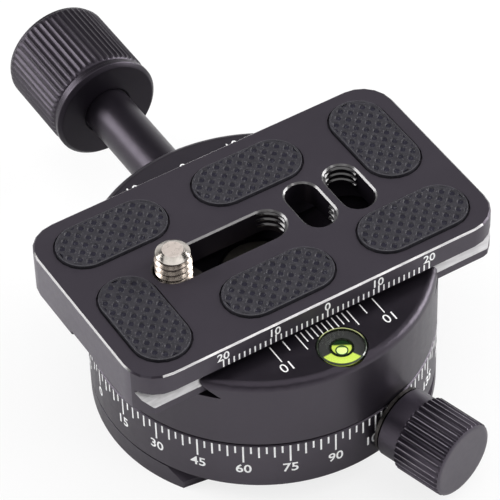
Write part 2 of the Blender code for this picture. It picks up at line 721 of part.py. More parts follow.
def make_moving_jaw(parts, cutters, axis):
    """Makes the moving jaw: the rest of the clamp's round, with the facing jaw slope.

    Its lower rim is stepped, so that it opens over the pan lock.
    """
    edge = CLAMP_EDGE_RADIUS
    profile = [(0.0, CLAMP_TOP)]
    profile += reversed(arc((HEAD_RADIUS - edge, CLAMP_TOP - edge), edge, 0.0, 90.0, EDGE_STEPS))
    profile += [
        (HEAD_RADIUS, JAW_RELIEF_TOP + CLAMP_CHAMFER),
        (HEAD_RADIUS - CLAMP_CHAMFER, JAW_RELIEF_TOP),
        (JAW_RELIEF_RADIUS, JAW_RELIEF_TOP),
        (JAW_RELIEF_RADIUS, CLAMP_BOTTOM),
        (0.0, CLAMP_BOTTOM),
    ]
    jaw = turned("moving_jaw", parts, profile, LARGE_STEPS, parent=axis)
    reach = HEAD_RADIUS + OVERRUN
    section = [
        (JAW_LAND_PLACE, CLAMP_TOP + OVERRUN),
        (JAW_LAND_PLACE, JAW_LAND_BOTTOM),
        (JAW_FOOT_PLACE, SLOT_FLOOR),
        (JAW_FOOT_PLACE, CLAMP_BOTTOM - OVERRUN),
        (reach, CLAMP_BOTTOM - OVERRUN),
        (reach, CLAMP_TOP + OVERRUN),
    ]
    cut(jaw, [section_along_x("jaw_form", cutters, section, reach)], "INTERSECT")
    line = at(0.0, 0.0, KNOB_HEIGHT) @ ALONG_Y
    bore = CLAMP_SCREW_RADIUS + SEAT_GAP
    tools = [
        bar("jaw_bore_cutter", cutters, bore, CLAMP_REAR_WALL, reach, SMALL_STEPS, line),
        bar("spot_face_cutter", cutters, SPOT_FACE_RADIUS, SPOT_FACE_PLACE, reach, MIDDLE_STEPS, line),
    ]
    for side in (-1, 1):
        tools.append(
            bar(
                f"jaw_pin_cutter_{side}",
                cutters,
                GUIDE_PIN_RADIUS + SEAT_GAP,
                CLAMP_REAR_WALL,
                JAW_FOOT_PLACE + GUIDE_PIN_IN_JAW + SEAT_GAP,
                SMALL_STEPS,
                at(side * GUIDE_PIN_PLACE, 0.0, GUIDE_PIN_HEIGHT) @ ALONG_Y,
            )
        )
    cut(jaw, tools)
    finish(jaw, "black_anodised")


def make_guide_pins(parts, axis):
    """Makes the two pins, fixed in the jaw, that slide in the clamp body."""
    for name, side in (("guide_pin_left", -1), ("guide_pin_right", 1)):
        pin = bar(
            name,
            parts,
            GUIDE_PIN_RADIUS,
            CLAMP_REAR_WALL - GUIDE_PIN_IN_CLAMP,
            JAW_FOOT_PLACE + GUIDE_PIN_IN_JAW,
            SMALL_STEPS,
            at(side * GUIDE_PIN_PLACE, 0.0, GUIDE_PIN_HEIGHT) @ ALONG_Y,
            axis,
        )
        finish(pin, "steel")


def level_top():
    """Gives the height of the level's top."""
    return CLAMP_TOP + LEVEL_STAND


def level_step():
    """Gives the height of the underside of the level's rim."""
    return level_top() - LEVEL_RIM_THICKNESS


def level_cup_bottom():
    """Gives the height of the cup's open end."""
    return level_step() - LEVEL_CUP_DEPTH


def level_seat_bottom():
    """Gives the height of the underside of the level's seat."""
    return level_cup_bottom() - SEAT_GAP - LEVEL_SEAT_THICKNESS


def make_level(parts):
    """Makes the round level: a clear cup over its liquid and bubble, closed by a seat."""
    place = at(0.0, -LEVEL_PLACE, 0.0)
    inner = LEVEL_CUP_RADIUS - LEVEL_CUP_WALL
    ceiling = level_top() - LEVEL_CUP_WALL
    vial = turned(
        "level_vial",
        parts,
        [
            (0.0, level_top()),
            (LEVEL_RADIUS - LEVEL_EDGE, level_top()),
            (LEVEL_RADIUS, level_top() - LEVEL_EDGE),
            (LEVEL_RADIUS, level_step()),
            (LEVEL_CUP_RADIUS, level_step()),
            (LEVEL_CUP_RADIUS, level_cup_bottom()),
            (inner, level_cup_bottom()),
            (inner, ceiling),
            (0.0, ceiling),
        ],
        MIDDLE_STEPS,
        place,
    )
    finish(vial, "clear_acrylic")
    wet, hollow = inner - SEAT_GAP, BUBBLE_RADIUS + SEAT_GAP
    liquid_top = ceiling - SEAT_GAP
    hollow_floor = liquid_top - BUBBLE_HEIGHT - SEAT_GAP
    liquid = turned(
        "level_liquid",
        parts,
        [
            (0.0, hollow_floor),
            (hollow, hollow_floor),
            (hollow, liquid_top),
            (wet, liquid_top),
            (wet, level_cup_bottom()),
            (0.0, level_cup_bottom()),
        ],
        SMALL_STEPS,
        place,
    )
    finish(liquid, "lime_liquid")
    low = liquid_top - BUBBLE_HEIGHT
    bubble = bar("level_bubble", parts, BUBBLE_RADIUS, low, liquid_top, SMALL_STEPS, place)
    finish(bubble, "bubble")
    low = level_seat_bottom()
    seat = bar("level_seat", parts, LEVEL_CUP_RADIUS, low, low + LEVEL_SEAT_THICKNESS, SMALL_STEPS, place)
    finish(seat, "white_nylon")


def make_clamp_knob(parts, cutters, axis):
    """Makes the knurled grip on its sleeve, with the clamp screw and the washer."""
    place = ALONG_Y
    start, end = KNOB_PLACE, KNOB_PLACE + KNOB_LENGTH
    rim_end = start + KNOB_FACE_CHAMFER + KNOB_RIM
    groove = KNOB_RADIUS - KNOB_GROOVE_DEPTH
    groove_end = rim_end + KNOB_GROOVE_SLOPE + KNOB_GROOVE_WIDTH
    stations = [
        (start, KNOB_RADIUS - KNOB_FACE_CHAMFER, False),
        (start + KNOB_FACE_CHAMFER, KNOB_RADIUS, False),
        (rim_end, KNOB_RADIUS, False),
        (rim_end + KNOB_GROOVE_SLOPE, groove, False),
        (groove_end, groove, False),
        (groove_end + KNOB_GROOVE_DEPTH, KNOB_RADIUS, True),
        (end - KNOB_GROOVE_DEPTH, KNOB_RADIUS, True),
        (end, groove, False),
    ]
    grip = fluted("knob_grip", parts, stations, KNOB_FLUTES, KNOB_FLUTE_DEPTH, place, axis)
    sleeve_end = start + SLEEVE_IN_KNOB
    screw_end = sleeve_end + SEAT_GAP
    screw_tip = start + CLAMP_SCREW_IN_KNOB
    bore = CLAMP_SCREW_RADIUS + SEAT_GAP
    hole = turned(
        "knob_bore_cutter",
        cutters,
        [
            (0.0, screw_tip + SEAT_GAP),
            (bore, screw_tip + SEAT_GAP),
            (bore, screw_end),
            (SLEEVE_RADIUS + SEAT_GAP, screw_end),
            (SLEEVE_RADIUS + SEAT_GAP, start + KNOB_RECESS_DEPTH),
            (KNOB_RECESS_RADIUS, start + KNOB_RECESS_DEPTH),
            (KNOB_RECESS_RADIUS, start - OVERRUN),
            (0.0, start - OVERRUN),
        ],
        MIDDLE_STEPS,
        place,
        axis,
    )
    cut(grip, [hole])
    finish(grip, "knob_black")
    sleeve = ring(
        "knob_sleeve", parts, bore, SLEEVE_RADIUS, SLEEVE_START, sleeve_end, MIDDLE_STEPS, place, axis
    )
    finish(sleeve, "knob_black")
    screw = bar(
        "clamp_screw", parts, CLAMP_SCREW_RADIUS, CLAMP_SCREW_START, screw_tip, SMALL_STEPS, place, axis
    )
    finish(screw, "steel")
    low = SPOT_FACE_PLACE + SEAT_GAP
    washer = ring(
        "knob_washer",
        parts,
        bore,
        SPOT_FACE_RADIUS - SEAT_GAP,
        low,
        low + KNOB_WASHER_THICKNESS,
        MIDDLE_STEPS,
        place,
        axis,
    )
    finish(washer, "steel")


def pad_places():
    """Lists the pads' names, centres and turns, alike on both sides of the plate's centre."""
    layout = (
        ("end", -PAD_END_PLACE, PAD_END_OFFSET, 0.0),
        ("middle", PAD_MIDDLE_PLACE, PAD_MIDDLE_OFFSET, 0.0),
        ("cross", -PAD_CROSS_PLACE, -PAD_CROSS_OFFSET, QUARTER_TURN),
    )
    places = []
    for kind, x, y, turn in layout:
        places.append((f"pad_{kind}_1", x, y, turn))
        places.append((f"pad_{kind}_2", -x, -y, turn))
    return places


def make_plate(parts, cutters, axis):
    """Makes the camera plate: a chamfered deck over a dovetail foot, with its slots and pockets."""
    outline = rounded_rectangle(PLATE_LENGTH, PLATE_WIDTH, PLATE_CORNER_RADIUS)
    plate = prism("plate", parts, outline, 0.0, PLATE_HEIGHT, parent=axis, chamfer=PLATE_CHAMFER)
    foot, deck = FOOT_WIDTH / 2, PLATE_WIDTH / 2 + OVERRUN
    neck = foot - GROOVE_DEPTH
    under_deck = PLATE_HEIGHT - DECK_HEIGHT
    half = [
        (foot, -OVERRUN),
        (foot, FOOT_LIP_HEIGHT),
        (neck, FOOT_LIP_HEIGHT + GROOVE_DEPTH),
        (neck, under_deck),
        (deck, under_deck),
        (deck, PLATE_HEIGHT + OVERRUN),
    ]
    section = half + [(-y, z) for y, z in reversed(half)]
    cut(plate, [section_along_x("plate_form", cutters, section, PLATE_LENGTH, axis)], "INTERSECT")
    top = PLATE_HEIGHT + OVERRUN
    slots = [("long_slot_cutter", stadium(LONG_SLOT_WIDTH, LONG_SLOT_LENGTH), LONG_SLOT_PLACE)]
    for number, x in enumerate(SHORT_SLOT_PLACES):
        outline = stadium(SHORT_SLOT_WIDTH, SHORT_SLOT_LENGTH, QUARTER_TURN)
        slots.append((f"short_slot_cutter_{number}", outline, x))
    tools = []
    for name, outline, x in slots:
        tools.append(prism(name, cutters, outline, -OVERRUN, top, at(x, 0.0, 0.0), axis))
    low = (-PLATE_LENGTH, -CHANNEL_WIDTH / 2, -OVERRUN)
    high = (PLATE_LENGTH, CHANNEL_WIDTH / 2, CHANNEL_DEPTH)
    tools.append(box("channel_cutter", cutters, low, high, axis))
    first = LONG_SLOT_START + (LONG_SLOT_WIDTH - POCKET_WIDTH) / 2
    last = SHORT_SLOT_LAST + POCKET_WIDTH / 2
    pocket = stadium(POCKET_WIDTH, last - first)
    place = at((first + last) / 2, 0.0, 0.0)
    tools.append(prism("pocket_cutter", cutters, pocket, -OVERRUN, POCKET_DEPTH, place, axis))
    recess_floor = PLATE_HEIGHT + PAD_STAND - PAD_THICKNESS - SEAT_GAP
    for name, x, y, turn in pad_places():
        outline = stadium(PAD_WIDTH + 2 * SEAT_GAP, PAD_LENGTH + 2 * SEAT_GAP, turn)
        tools.append(
            prism(f"{name}_recess", cutters, outline, recess_floor, top, at(x, y, 0.0), axis)
        )
    cut(plate, tools)
    finish(plate, "black_anodised")


def make_pads(parts, axis):
    """Makes the rubber pads that the camera rests on."""
    low = PLATE_HEIGHT + PAD_STAND - PAD_THICKNESS
    for name, x, y, turn in pad_places():
        pad = prism(
            name,
            parts,
            stadium(PAD_WIDTH, PAD_LENGTH, turn),
            low,
            low + PAD_THICKNESS,
            at(x, y, 0.0),
            axis,
            chamfer=PAD_CHAMFER,
        )
        finish(pad, "rubber")


def make_camera_screw(parts, cutters, axis):
    """Makes the camera screw and the washer that it slides on in the plate's pocket."""
    roof = PLATE_BOTTOM + POCKET_DEPTH
    washer_top = roof - SEAT_GAP
    washer_low = washer_top - SCREW_WASHER_THICKNESS
    head_top = washer_low - SEAT_GAP
    head_low = head_top - SCREW_HEAD_HEIGHT
    tip = PLATE_TOP + STUD_STAND
    edge = SCREW_HEAD_CHAMFER
    profile = [
        (0.0, tip),
        (STUD_TIP_RADIUS, tip),
        (STUD_RADIUS, tip - STUD_TIP_HEIGHT),
        (STUD_RADIUS, head_top),
        (SCREW_HEAD_RADIUS, head_top),
        (SCREW_HEAD_RADIUS, head_low + edge),
        (SCREW_HEAD_RADIUS - edge, head_low),
        (0.0, head_low),
    ]
    screw = turned("camera_screw", parts, profile, MIDDLE_STEPS, parent=axis)
    reach = SCREW_HEAD_RADIUS + OVERRUN
    low = (-reach, -SCREW_SLOT_WIDTH / 2, head_low - OVERRUN)
    high = (reach, SCREW_SLOT_WIDTH / 2, head_low + SCREW_SLOT_DEPTH)
    cut(screw, [box("coin_slot_cutter", cutters, low, high, axis)])
    finish(screw, "steel")
    bore = STUD_RADIUS + SEAT_GAP
    washer = ring(
        "screw_washer", parts, bore, SCREW_WASHER_RADIUS, washer_low, washer_top, MIDDLE_STEPS, parent=axis
    )
    finish(washer, "white_nylon")


def make_pan_lock(parts, cutters, axis):
    """Makes the brake plug, its screw and the small knurled knob with its washer."""
    place = ALONG_X
    plug_start = DIAL_BORE_RADIUS
    plug_end = plug_start + LOCK_PLUG_LENGTH
    plug = bar("brake_plug", parts, LOCK_SCREW_RADIUS, plug_start, plug_end, SMALL_STEPS, place, axis)
    finish(plug, "brass")
    washer_start = HEAD_RADIUS + SEAT_GAP
    knob_start = washer_start + LOCK_WASHER_THICKNESS + SEAT_GAP
    screw_start = plug_end + SEAT_GAP
    screw_end = knob_start + LOCK_SCREW_IN_KNOB
    screw = bar("lock_screw", parts, LOCK_SCREW_RADIUS, screw_start, screw_end, SMALL_STEPS, place, axis)
    finish(screw, "steel")
    washer = ring(
        "lock_washer",
        parts,
        LOCK_SCREW_RADIUS + SEAT_GAP,
        LOCK_WASHER_RADIUS,
        washer_start,
        washer_start + LOCK_WASHER_THICKNESS,
        MIDDLE_STEPS,
        place,
        axis,
    )
    finish(washer, "brass")
    collar_end = knob_start + LOCK_COLLAR_LENGTH
    knob_end = knob_start + LOCK_KNOB_LENGTH
    stations = [
        (knob_start, LOCK_COLLAR_RADIUS, False),
        (collar_end, LOCK_COLLAR_RADIUS, False),
        (collar_end + LOCK_STEP, LOCK_KNOB_RADIUS, True),
        (knob_end - LOCK_KNOB_CHAMFER, LOCK_KNOB_RADIUS, True),
        (knob_end, LOCK_KNOB_RADIUS - LOCK_KNOB_CHAMFER, False),
    ]
    knob = fluted("lock_knob", parts, stations, LOCK_KNOB_FLUTES, LOCK_FLUTE_DEPTH, place, axis)
    bore, low, top = LOCK_SCREW_RADIUS + SEAT_GAP, knob_start - OVERRUN, screw_end + SEAT_GAP
    cut(knob, [bar("lock_knob_cutter", cutters, bore, low, top, SMALL_STEPS, place, axis)])
    finish(knob, "lock_black")


def main():
    """Builds the head, body by body."""
    clear_scene()
    parts = add_collection("panoramic_tripod_head")
    cutters = add_collection("cutters")
    base = add_empty("base_axis", parts, (0.0, 0.0, 0.0), BASE_TURN)
    make_base_plate(parts, cutters, base)
    make_base_screws(parts, cutters, base)
    make_tripod_bush(parts, base)
    make_dial_ring(parts, cutters, base)
    make_pivot(parts, cutters, base)
    make_clamp_body(parts, cutters)
    make_slip_washer(parts)
    make_level(parts)
    jaw = add_empty("jaw_axis", parts, (0.0, 0.0, 0.0))
    make_moving_jaw(parts, cutters, jaw)
    make_guide_pins(parts, jaw)
    knob = add_empty("knob_axis", parts, (0.0, 0.0, KNOB_HEIGHT), parent=jaw)
    make_clamp_knob(parts, cutters, knob)
    plate = add_empty("plate_axis", parts, (PLATE_SHIFT, 0.0, PLATE_BOTTOM))
    make_plate(parts, cutters, plate)
    make_pads(parts, plate)
    stud = add_empty("stud_axis", parts, (STUD_PLACE, 0.0, 0.0))
    make_camera_screw(parts, cutters, stud)
    lock = add_empty("lock_axis", parts, (0.0, 0.0, LOCK_HEIGHT), LOCK_TURN)
    make_pan_lock(parts, cutters, lock)


main()
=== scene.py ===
"""A panoramic tripod head with its quick release plate, dressed for rendering.

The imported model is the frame. Each class below builds or dresses one sub-assembly
on it. Sizes are in millimetres in the head's own frame: X runs along the plate, Y
towards the clamp knob, and Z up from the tripod face.
"""

import logging
import math
from collections.abc import Callable, Iterable
from dataclasses import dataclass, field
from enum import Enum, IntEnum
from functools import cache

import bmesh
import bpy
from mathutils import Matrix, Vector


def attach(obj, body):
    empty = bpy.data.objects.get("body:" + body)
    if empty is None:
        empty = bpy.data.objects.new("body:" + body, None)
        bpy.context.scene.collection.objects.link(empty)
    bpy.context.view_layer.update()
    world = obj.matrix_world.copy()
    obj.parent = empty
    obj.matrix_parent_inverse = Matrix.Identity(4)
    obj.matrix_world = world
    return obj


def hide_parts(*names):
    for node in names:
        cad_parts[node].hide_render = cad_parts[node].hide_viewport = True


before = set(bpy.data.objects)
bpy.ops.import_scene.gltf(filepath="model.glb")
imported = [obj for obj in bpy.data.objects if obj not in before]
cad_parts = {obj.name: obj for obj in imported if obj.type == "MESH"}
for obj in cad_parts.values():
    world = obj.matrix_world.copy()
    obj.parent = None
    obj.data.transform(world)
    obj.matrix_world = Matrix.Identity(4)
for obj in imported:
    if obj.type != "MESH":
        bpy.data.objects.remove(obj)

METRE = 0.001
WELD = 0.0005
SMOOTH_ANGLE = math.radians(32.0)
FLAT_ANGLE = math.radians(0.3)
SOFTEN_ANGLE = math.radians(40.0)
QUARTER = math.radians(90.0)
NEAR = 0.01
NET_TOLERANCE = 1e-3
CUT_TOLERANCE = 1e-4
FACES_UP = 0.99
PROUD = 0.02
THREAD_ROOT = 0.08
THREAD_RIDGE = ((0.0, 0.0), (1.0, 0.42), (1.0, 0.50), (0.0, 0.92))
LEVEL_PLACE = (0.0, -25.2)
PLAIN_GLINT = (1.0, 0.98, 0.98)

Triple = tuple[float, float, float]
Colour = Triple
Pair = tuple[float, float]
Profile = tuple[Pair, ...]
Socket = bpy.types.NodeSocket
Material = bpy.types.Material

log = logging.getLogger("tripod_head")


class Body(Enum):
    """The moving bodies that carry new pieces."""

    BASE = "base"
    CLAMP = "clamp"
    JAW = "jaw"
    CLAMP_KNOB = "clamp_knob"
    CAMERA_PLATE = "camera_plate"
    CAMERA_SCREW = "camera_screw"
    LOCK_KNOB = "lock_knob"


class Slot(Enum):
    """The record's material slots, which new pieces store and nothing reads."""

    BLACK_ANODISED = "black_anodised"
    KNOB_BLACK = "knob_black"
    LOCK_BLACK = "lock_black"
    STEEL = "steel"
    BRASS = "brass"
    RUBBER = "rubber"
    CLEAR_ACRYLIC = "clear_acrylic"
    LIME_LIQUID = "lime_liquid"
    BUBBLE = "bubble"


# ---------------------------------------------------------------- finishes


class Nodes:
    """The node tree of a material or world, under construction."""

    def __init__(self, owner: Material | bpy.types.World) -> None:
        """Starts with the tree that the owner comes with."""
        owner.use_nodes = True
        self.tree = owner.node_tree

    def put(self, socket: Socket, value: object) -> None:
        """Links a socket to another one, or sets it to a value."""
        if isinstance(value, Socket):
            self.tree.links.new(value, socket)
        else:
            socket.default_value = value

    def put_named(self, node: bpy.types.Node, **values: object) -> None:
        """Sets or links a node's sockets, named with underscores for spaces."""
        for title, value in values.items():
            self.put(node.inputs[title.replace("_", " ")], value)

    def add(self, kind: str, *first: object, operation: str = "", **named: object) -> bpy.types.Node:
        """Adds a node and sets or links its inputs.

        Args:
            kind: The node's type name, after ShaderNode.
            *first: Values or sockets for its first inputs.
            operation: What a maths node does.
            **named: Values or sockets for its other inputs.

        Returns:
            The new node.
        """
        node = self.tree.nodes.new(f"ShaderNode{kind}")
        if operation:
            node.operation = operation
        for socket, value in zip(node.inputs, first):
            self.put(socket, value)
        self.put_named(node, **named)
        return node

    def spread(
        self,
        value: Socket,
        low: float | Socket,
        high: float | Socket,
        start: float = 0.3,
        end: float = 0.7,
    ) -> Socket:
        """Maps a pattern to a range.

        Args:
            value: The pattern.
            low: What it gives at start.
            high: What it gives at end.
            start: The pattern's low end.
            end: The pattern's high end.

        Returns:
            The mapped value.
        """
        node = self.add("MapRange", Value=value, From_Min=start, From_Max=end, To_Min=low, To_Max=high)
        return node.outputs["Result"]


class Shader(Nodes):
    """A Principled material under construction."""

    def __init__(self, name: str) -> None:
        """Starts a material of that name."""
        self.material = bpy.data.materials.new(name)
        super().__init__(self.material)
        self.body = self.tree.nodes["Principled BSDF"]
        self.place = self.add("TexCoord").outputs["Object"]

    def noise(self, size: float, detail: float = 3.0, stretch: Triple = (1.0, 1.0, 1.0)) -> Socket:
        """Adds a noise pattern.

        Args:
            size: The width of one speck in millimetres.
            detail: How many octaves it has.
            stretch: How much faster it changes along each axis.

        Returns:
            The pattern's value, from 0 to 1.
        """
        where = self.add("Mapping", Vector=self.place, Scale=stretch).outputs["Vector"]
        node = self.add("TexNoise", Vector=where, Scale=1.0 / (size * METRE), Detail=detail)
        return node.outputs["Fac"]

    def tint(self, value: Socket, dark: Colour, light: Colour) -> Socket:
        """Mixes two colours by a pattern.

        Args:
            value: The pattern.
            dark: The colour where it is low.
            light: The colour where it is high.

        Returns:
            The mixed colour.
        """
        ramp = self.add("ValToRGB", Fac=value)
        for stop, position, colour in zip(ramp.color_ramp.elements, (0.3, 0.7), (dark, light)):
            stop.position, stop.color = position, (*colour, 1.0)
        return ramp.outputs["Color"]

    def bump(self, *layers: tuple[Socket, float]) -> None:
        """Stacks bump layers on the shader.

        Args:
            *layers: A height pattern and its depth in millimetres each.
        """
        below = {}
        for height, depth in layers:
            node = self.add("Bump", Height=height, Distance=depth * METRE, **below)
            below = {"Normal": node.outputs["Normal"]}
        self.coat(**below)

    def coat(self, **values: object) -> None:
        """Sets or links the shader's own sockets."""
        self.put_named(self.body, **values)

    def show(self, surface: bpy.types.Node) -> None:
        """Shows another shader's first output on the surface."""
        self.put(self.tree.nodes["Material Output"].inputs["Surface"], surface.outputs[0])


@dataclass(frozen=True)
class Anodised:
    """Bead blasted aluminium with a dyed oxide coat."""

    name: str
    dark: Colour = (0.0046, 0.0037, 0.0056)
    light: Colour = (0.0066, 0.0054, 0.0078)
    roughness: float = 0.36
    grain: float = 0.10
    grain_depth: float = 0.006
    shine: float = 0.62
    glint: Colour = (0.93, 0.81, 1.0)

    def material(self) -> Material:
        """Returns the finish as a material."""
        shader = Shader(self.name)
        shader.coat(
            Base_Color=shader.tint(shader.noise(14.0), self.dark, self.light),
            Roughness=shader.spread(shader.noise(1.2, 4.0), self.roughness - 0.02, self.roughness + 0.03),
            Specular_IOR_Level=self.shine,
            Specular_Tint=(*self.glint, 1.0),
        )
        shader.bump((shader.noise(self.grain, 2.0), self.grain_depth))
        return shader.material


@dataclass(frozen=True)
class CutEdge:
    """The bright edge that a cutter leaves through the oxide coat."""

    name: str
    dark: Colour = (0.42, 0.41, 0.42)
    light: Colour = (0.78, 0.76, 0.76)
    roughness: float = 0.33
    metal: float = 0.40

    def material(self) -> Material:
        """Returns the finish as a material."""
        shader = Shader(self.name)
        streak = shader.noise(0.5, stretch=(0.15, 1.0, 1.0))
        shader.coat(
            Base_Color=shader.tint(streak, self.dark, self.light),
            Roughness=shader.spread(shader.noise(0.6), self.roughness - 0.08, self.roughness + 0.1),
            Metallic=self.metal,
        )
        shader.bump((shader.noise(0.12, 2.0), 0.006))
        return shader.material


@dataclass(frozen=True)
class TurnedMetal:
    """A bare metal with fine marks of the lathe."""

    name: str
    dark: Colour
    light: Colour
    roughness: float = 0.22
    marks: float = 0.003
    wear: float = 0.085

    def material(self) -> Material:
        """Returns the finish as a material."""
        shader = Shader(self.name)
        rings = shader.noise(0.16, 2.0, (0.12, 0.12, 1.0))
        shader.coat(
            Base_Color=shader.tint(shader.noise(1.8, 4.0), self.dark, self.light),
            Roughness=shader.spread(rings, self.roughness - self.wear, self.roughness + self.wear),
            Metallic=1.0,
        )
        shader.bump((rings, self.marks), (shader.noise(0.5), 0.002))
        return shader.material


@dataclass(frozen=True)
class Rubber:
    """Moulded rubber with a fine dust on it."""

    name: str
    dark: Colour = (0.0190, 0.0175, 0.0230)
    light: Colour = (0.0290, 0.0270, 0.0345)
    roughness: float = 0.58
    shine: float = 0.32
    dust: float = 0.45
    dust_colour: Colour = (0.22, 0.22, 0.24)

    def material(self) -> Material:
        """Returns the finish as a material."""
        shader = Shader(self.name)
        rubber = shader.tint(shader.noise(1.2, 5.0), self.dark, self.light)
        speck = shader.spread(shader.noise(0.22, 1.0), 0.0, self.dust, 0.66, 0.74)
        dusty = shader.add("MixRGB", speck, rubber, (*self.dust_colour, 1.0))
        shader.coat(
            Base_Color=dusty.outputs["Color"],
            Roughness=shader.spread(shader.noise(0.4), self.roughness - 0.1, self.roughness + 0.12),
            Specular_IOR_Level=self.shine,
        )
        shader.bump((shader.noise(0.07, 2.0), 0.008), (shader.noise(0.35), 0.012))
        return shader.material


@dataclass(frozen=True)
class Plastic:
    """Plain moulded nylon or filled paint."""

    name: str
    dark: Colour
    light: Colour
    roughness: float = 0.5

    def material(self) -> Material:
        """Returns the finish as a material."""
        shader = Shader(self.name)
        shader.coat(
            Base_Color=shader.tint(shader.noise(0.7, 4.0), self.dark, self.light),
            Roughness=shader.spread(shader.noise(0.5), self.roughness - 0.08, self.roughness + 0.1),
        )
        shader.bump((shader.noise(0.15, 2.0), 0.004))
        return shader.material


@dataclass(frozen=True)
class ClearAcrylic:
    """A clear moulding: a see-through sheet with a gloss that grows at its edges."""

    name: str
    tint: Colour = (0.93, 0.97, 0.90)
    roughness: float = 0.06
    least_gloss: float = 0.02
    gloss_rise: float = 5.0

    def material(self) -> Material:
        """Returns the finish as a material."""
        shader = Shader(self.name)
        polish = shader.spread(shader.noise(1.0), self.roughness, self.roughness + 0.04)
        gloss = shader.add("BsdfAnisotropic", Color=(1.0, 1.0, 1.0, 1.0), Roughness=polish)
        clear = shader.add("BsdfTransparent", Color=(*self.tint, 1.0))
        side = shader.add("LayerWeight", Blend=0.5).outputs["Facing"]
        rise = shader.add("Math", side, self.gloss_rise, operation="POWER").outputs["Value"]
        share = shader.spread(rise, self.least_gloss, 1.0, 0.0, 1.0)
        shader.show(shader.add("MixShader", share, clear.outputs[0], gloss.outputs[0]))
        shader.tree.nodes.remove(shader.body)
        return shader.material


@dataclass(frozen=True)
class Liquid:
    """A dyed spirit with painted light: its colour runs from dark to light along a given way, and it has a
    painted glow of emission.
    """

    name: str
    dark: Colour = (0.010, 0.030, 0.012)
    light: Colour = (0.66, 0.73, 0.14)
    painted_light_way: Pair = (-0.508, -0.861)
    start: float = -0.95
    end: float = -0.15
    by_angle: bool = False
    # Strength of the painted glow.
    glow: float = 0.30
    shine: float = 0.1
    roughness: float = 0.20

    def material(self) -> Material:
        """Returns the finish as a material."""
        shader = Shader(self.name)
        zero = tuple(-number * METRE for number in LEVEL_PLACE)
        spot = shader.add("Mapping", Vector=shader.place, Location=(*zero, 0.0), Scale=(1.0, 1.0, 0.0))
        where = spot.outputs["Vector"]
        unit = METRE
        if self.by_angle:
            where = shader.add("VectorMath", where, operation="NORMALIZE").outputs["Vector"]
            unit = 1.0
        # Painted light: the colour grows lighter along the given way, towards one side of the level.
        way = shader.add("VectorMath", where, (*self.painted_light_way, 0.0), operation="DOT_PRODUCT")
        side = shader.spread(way.outputs["Value"], 0.0, 1.0, self.start * unit, self.end * unit)
        colour = shader.tint(side, self.dark, self.light)
        # Painted glow: the same colour is also given off as emission, though the spirit is no lamp.
        shader.coat(
            Base_Color=colour,
            Emission_Color=colour,
            Roughness=shader.spread(shader.noise(1.0), self.roughness, self.roughness + 0.08),
            Emission_Strength=self.glow,
            Specular_IOR_Level=self.shine,
        )
        return shader.material


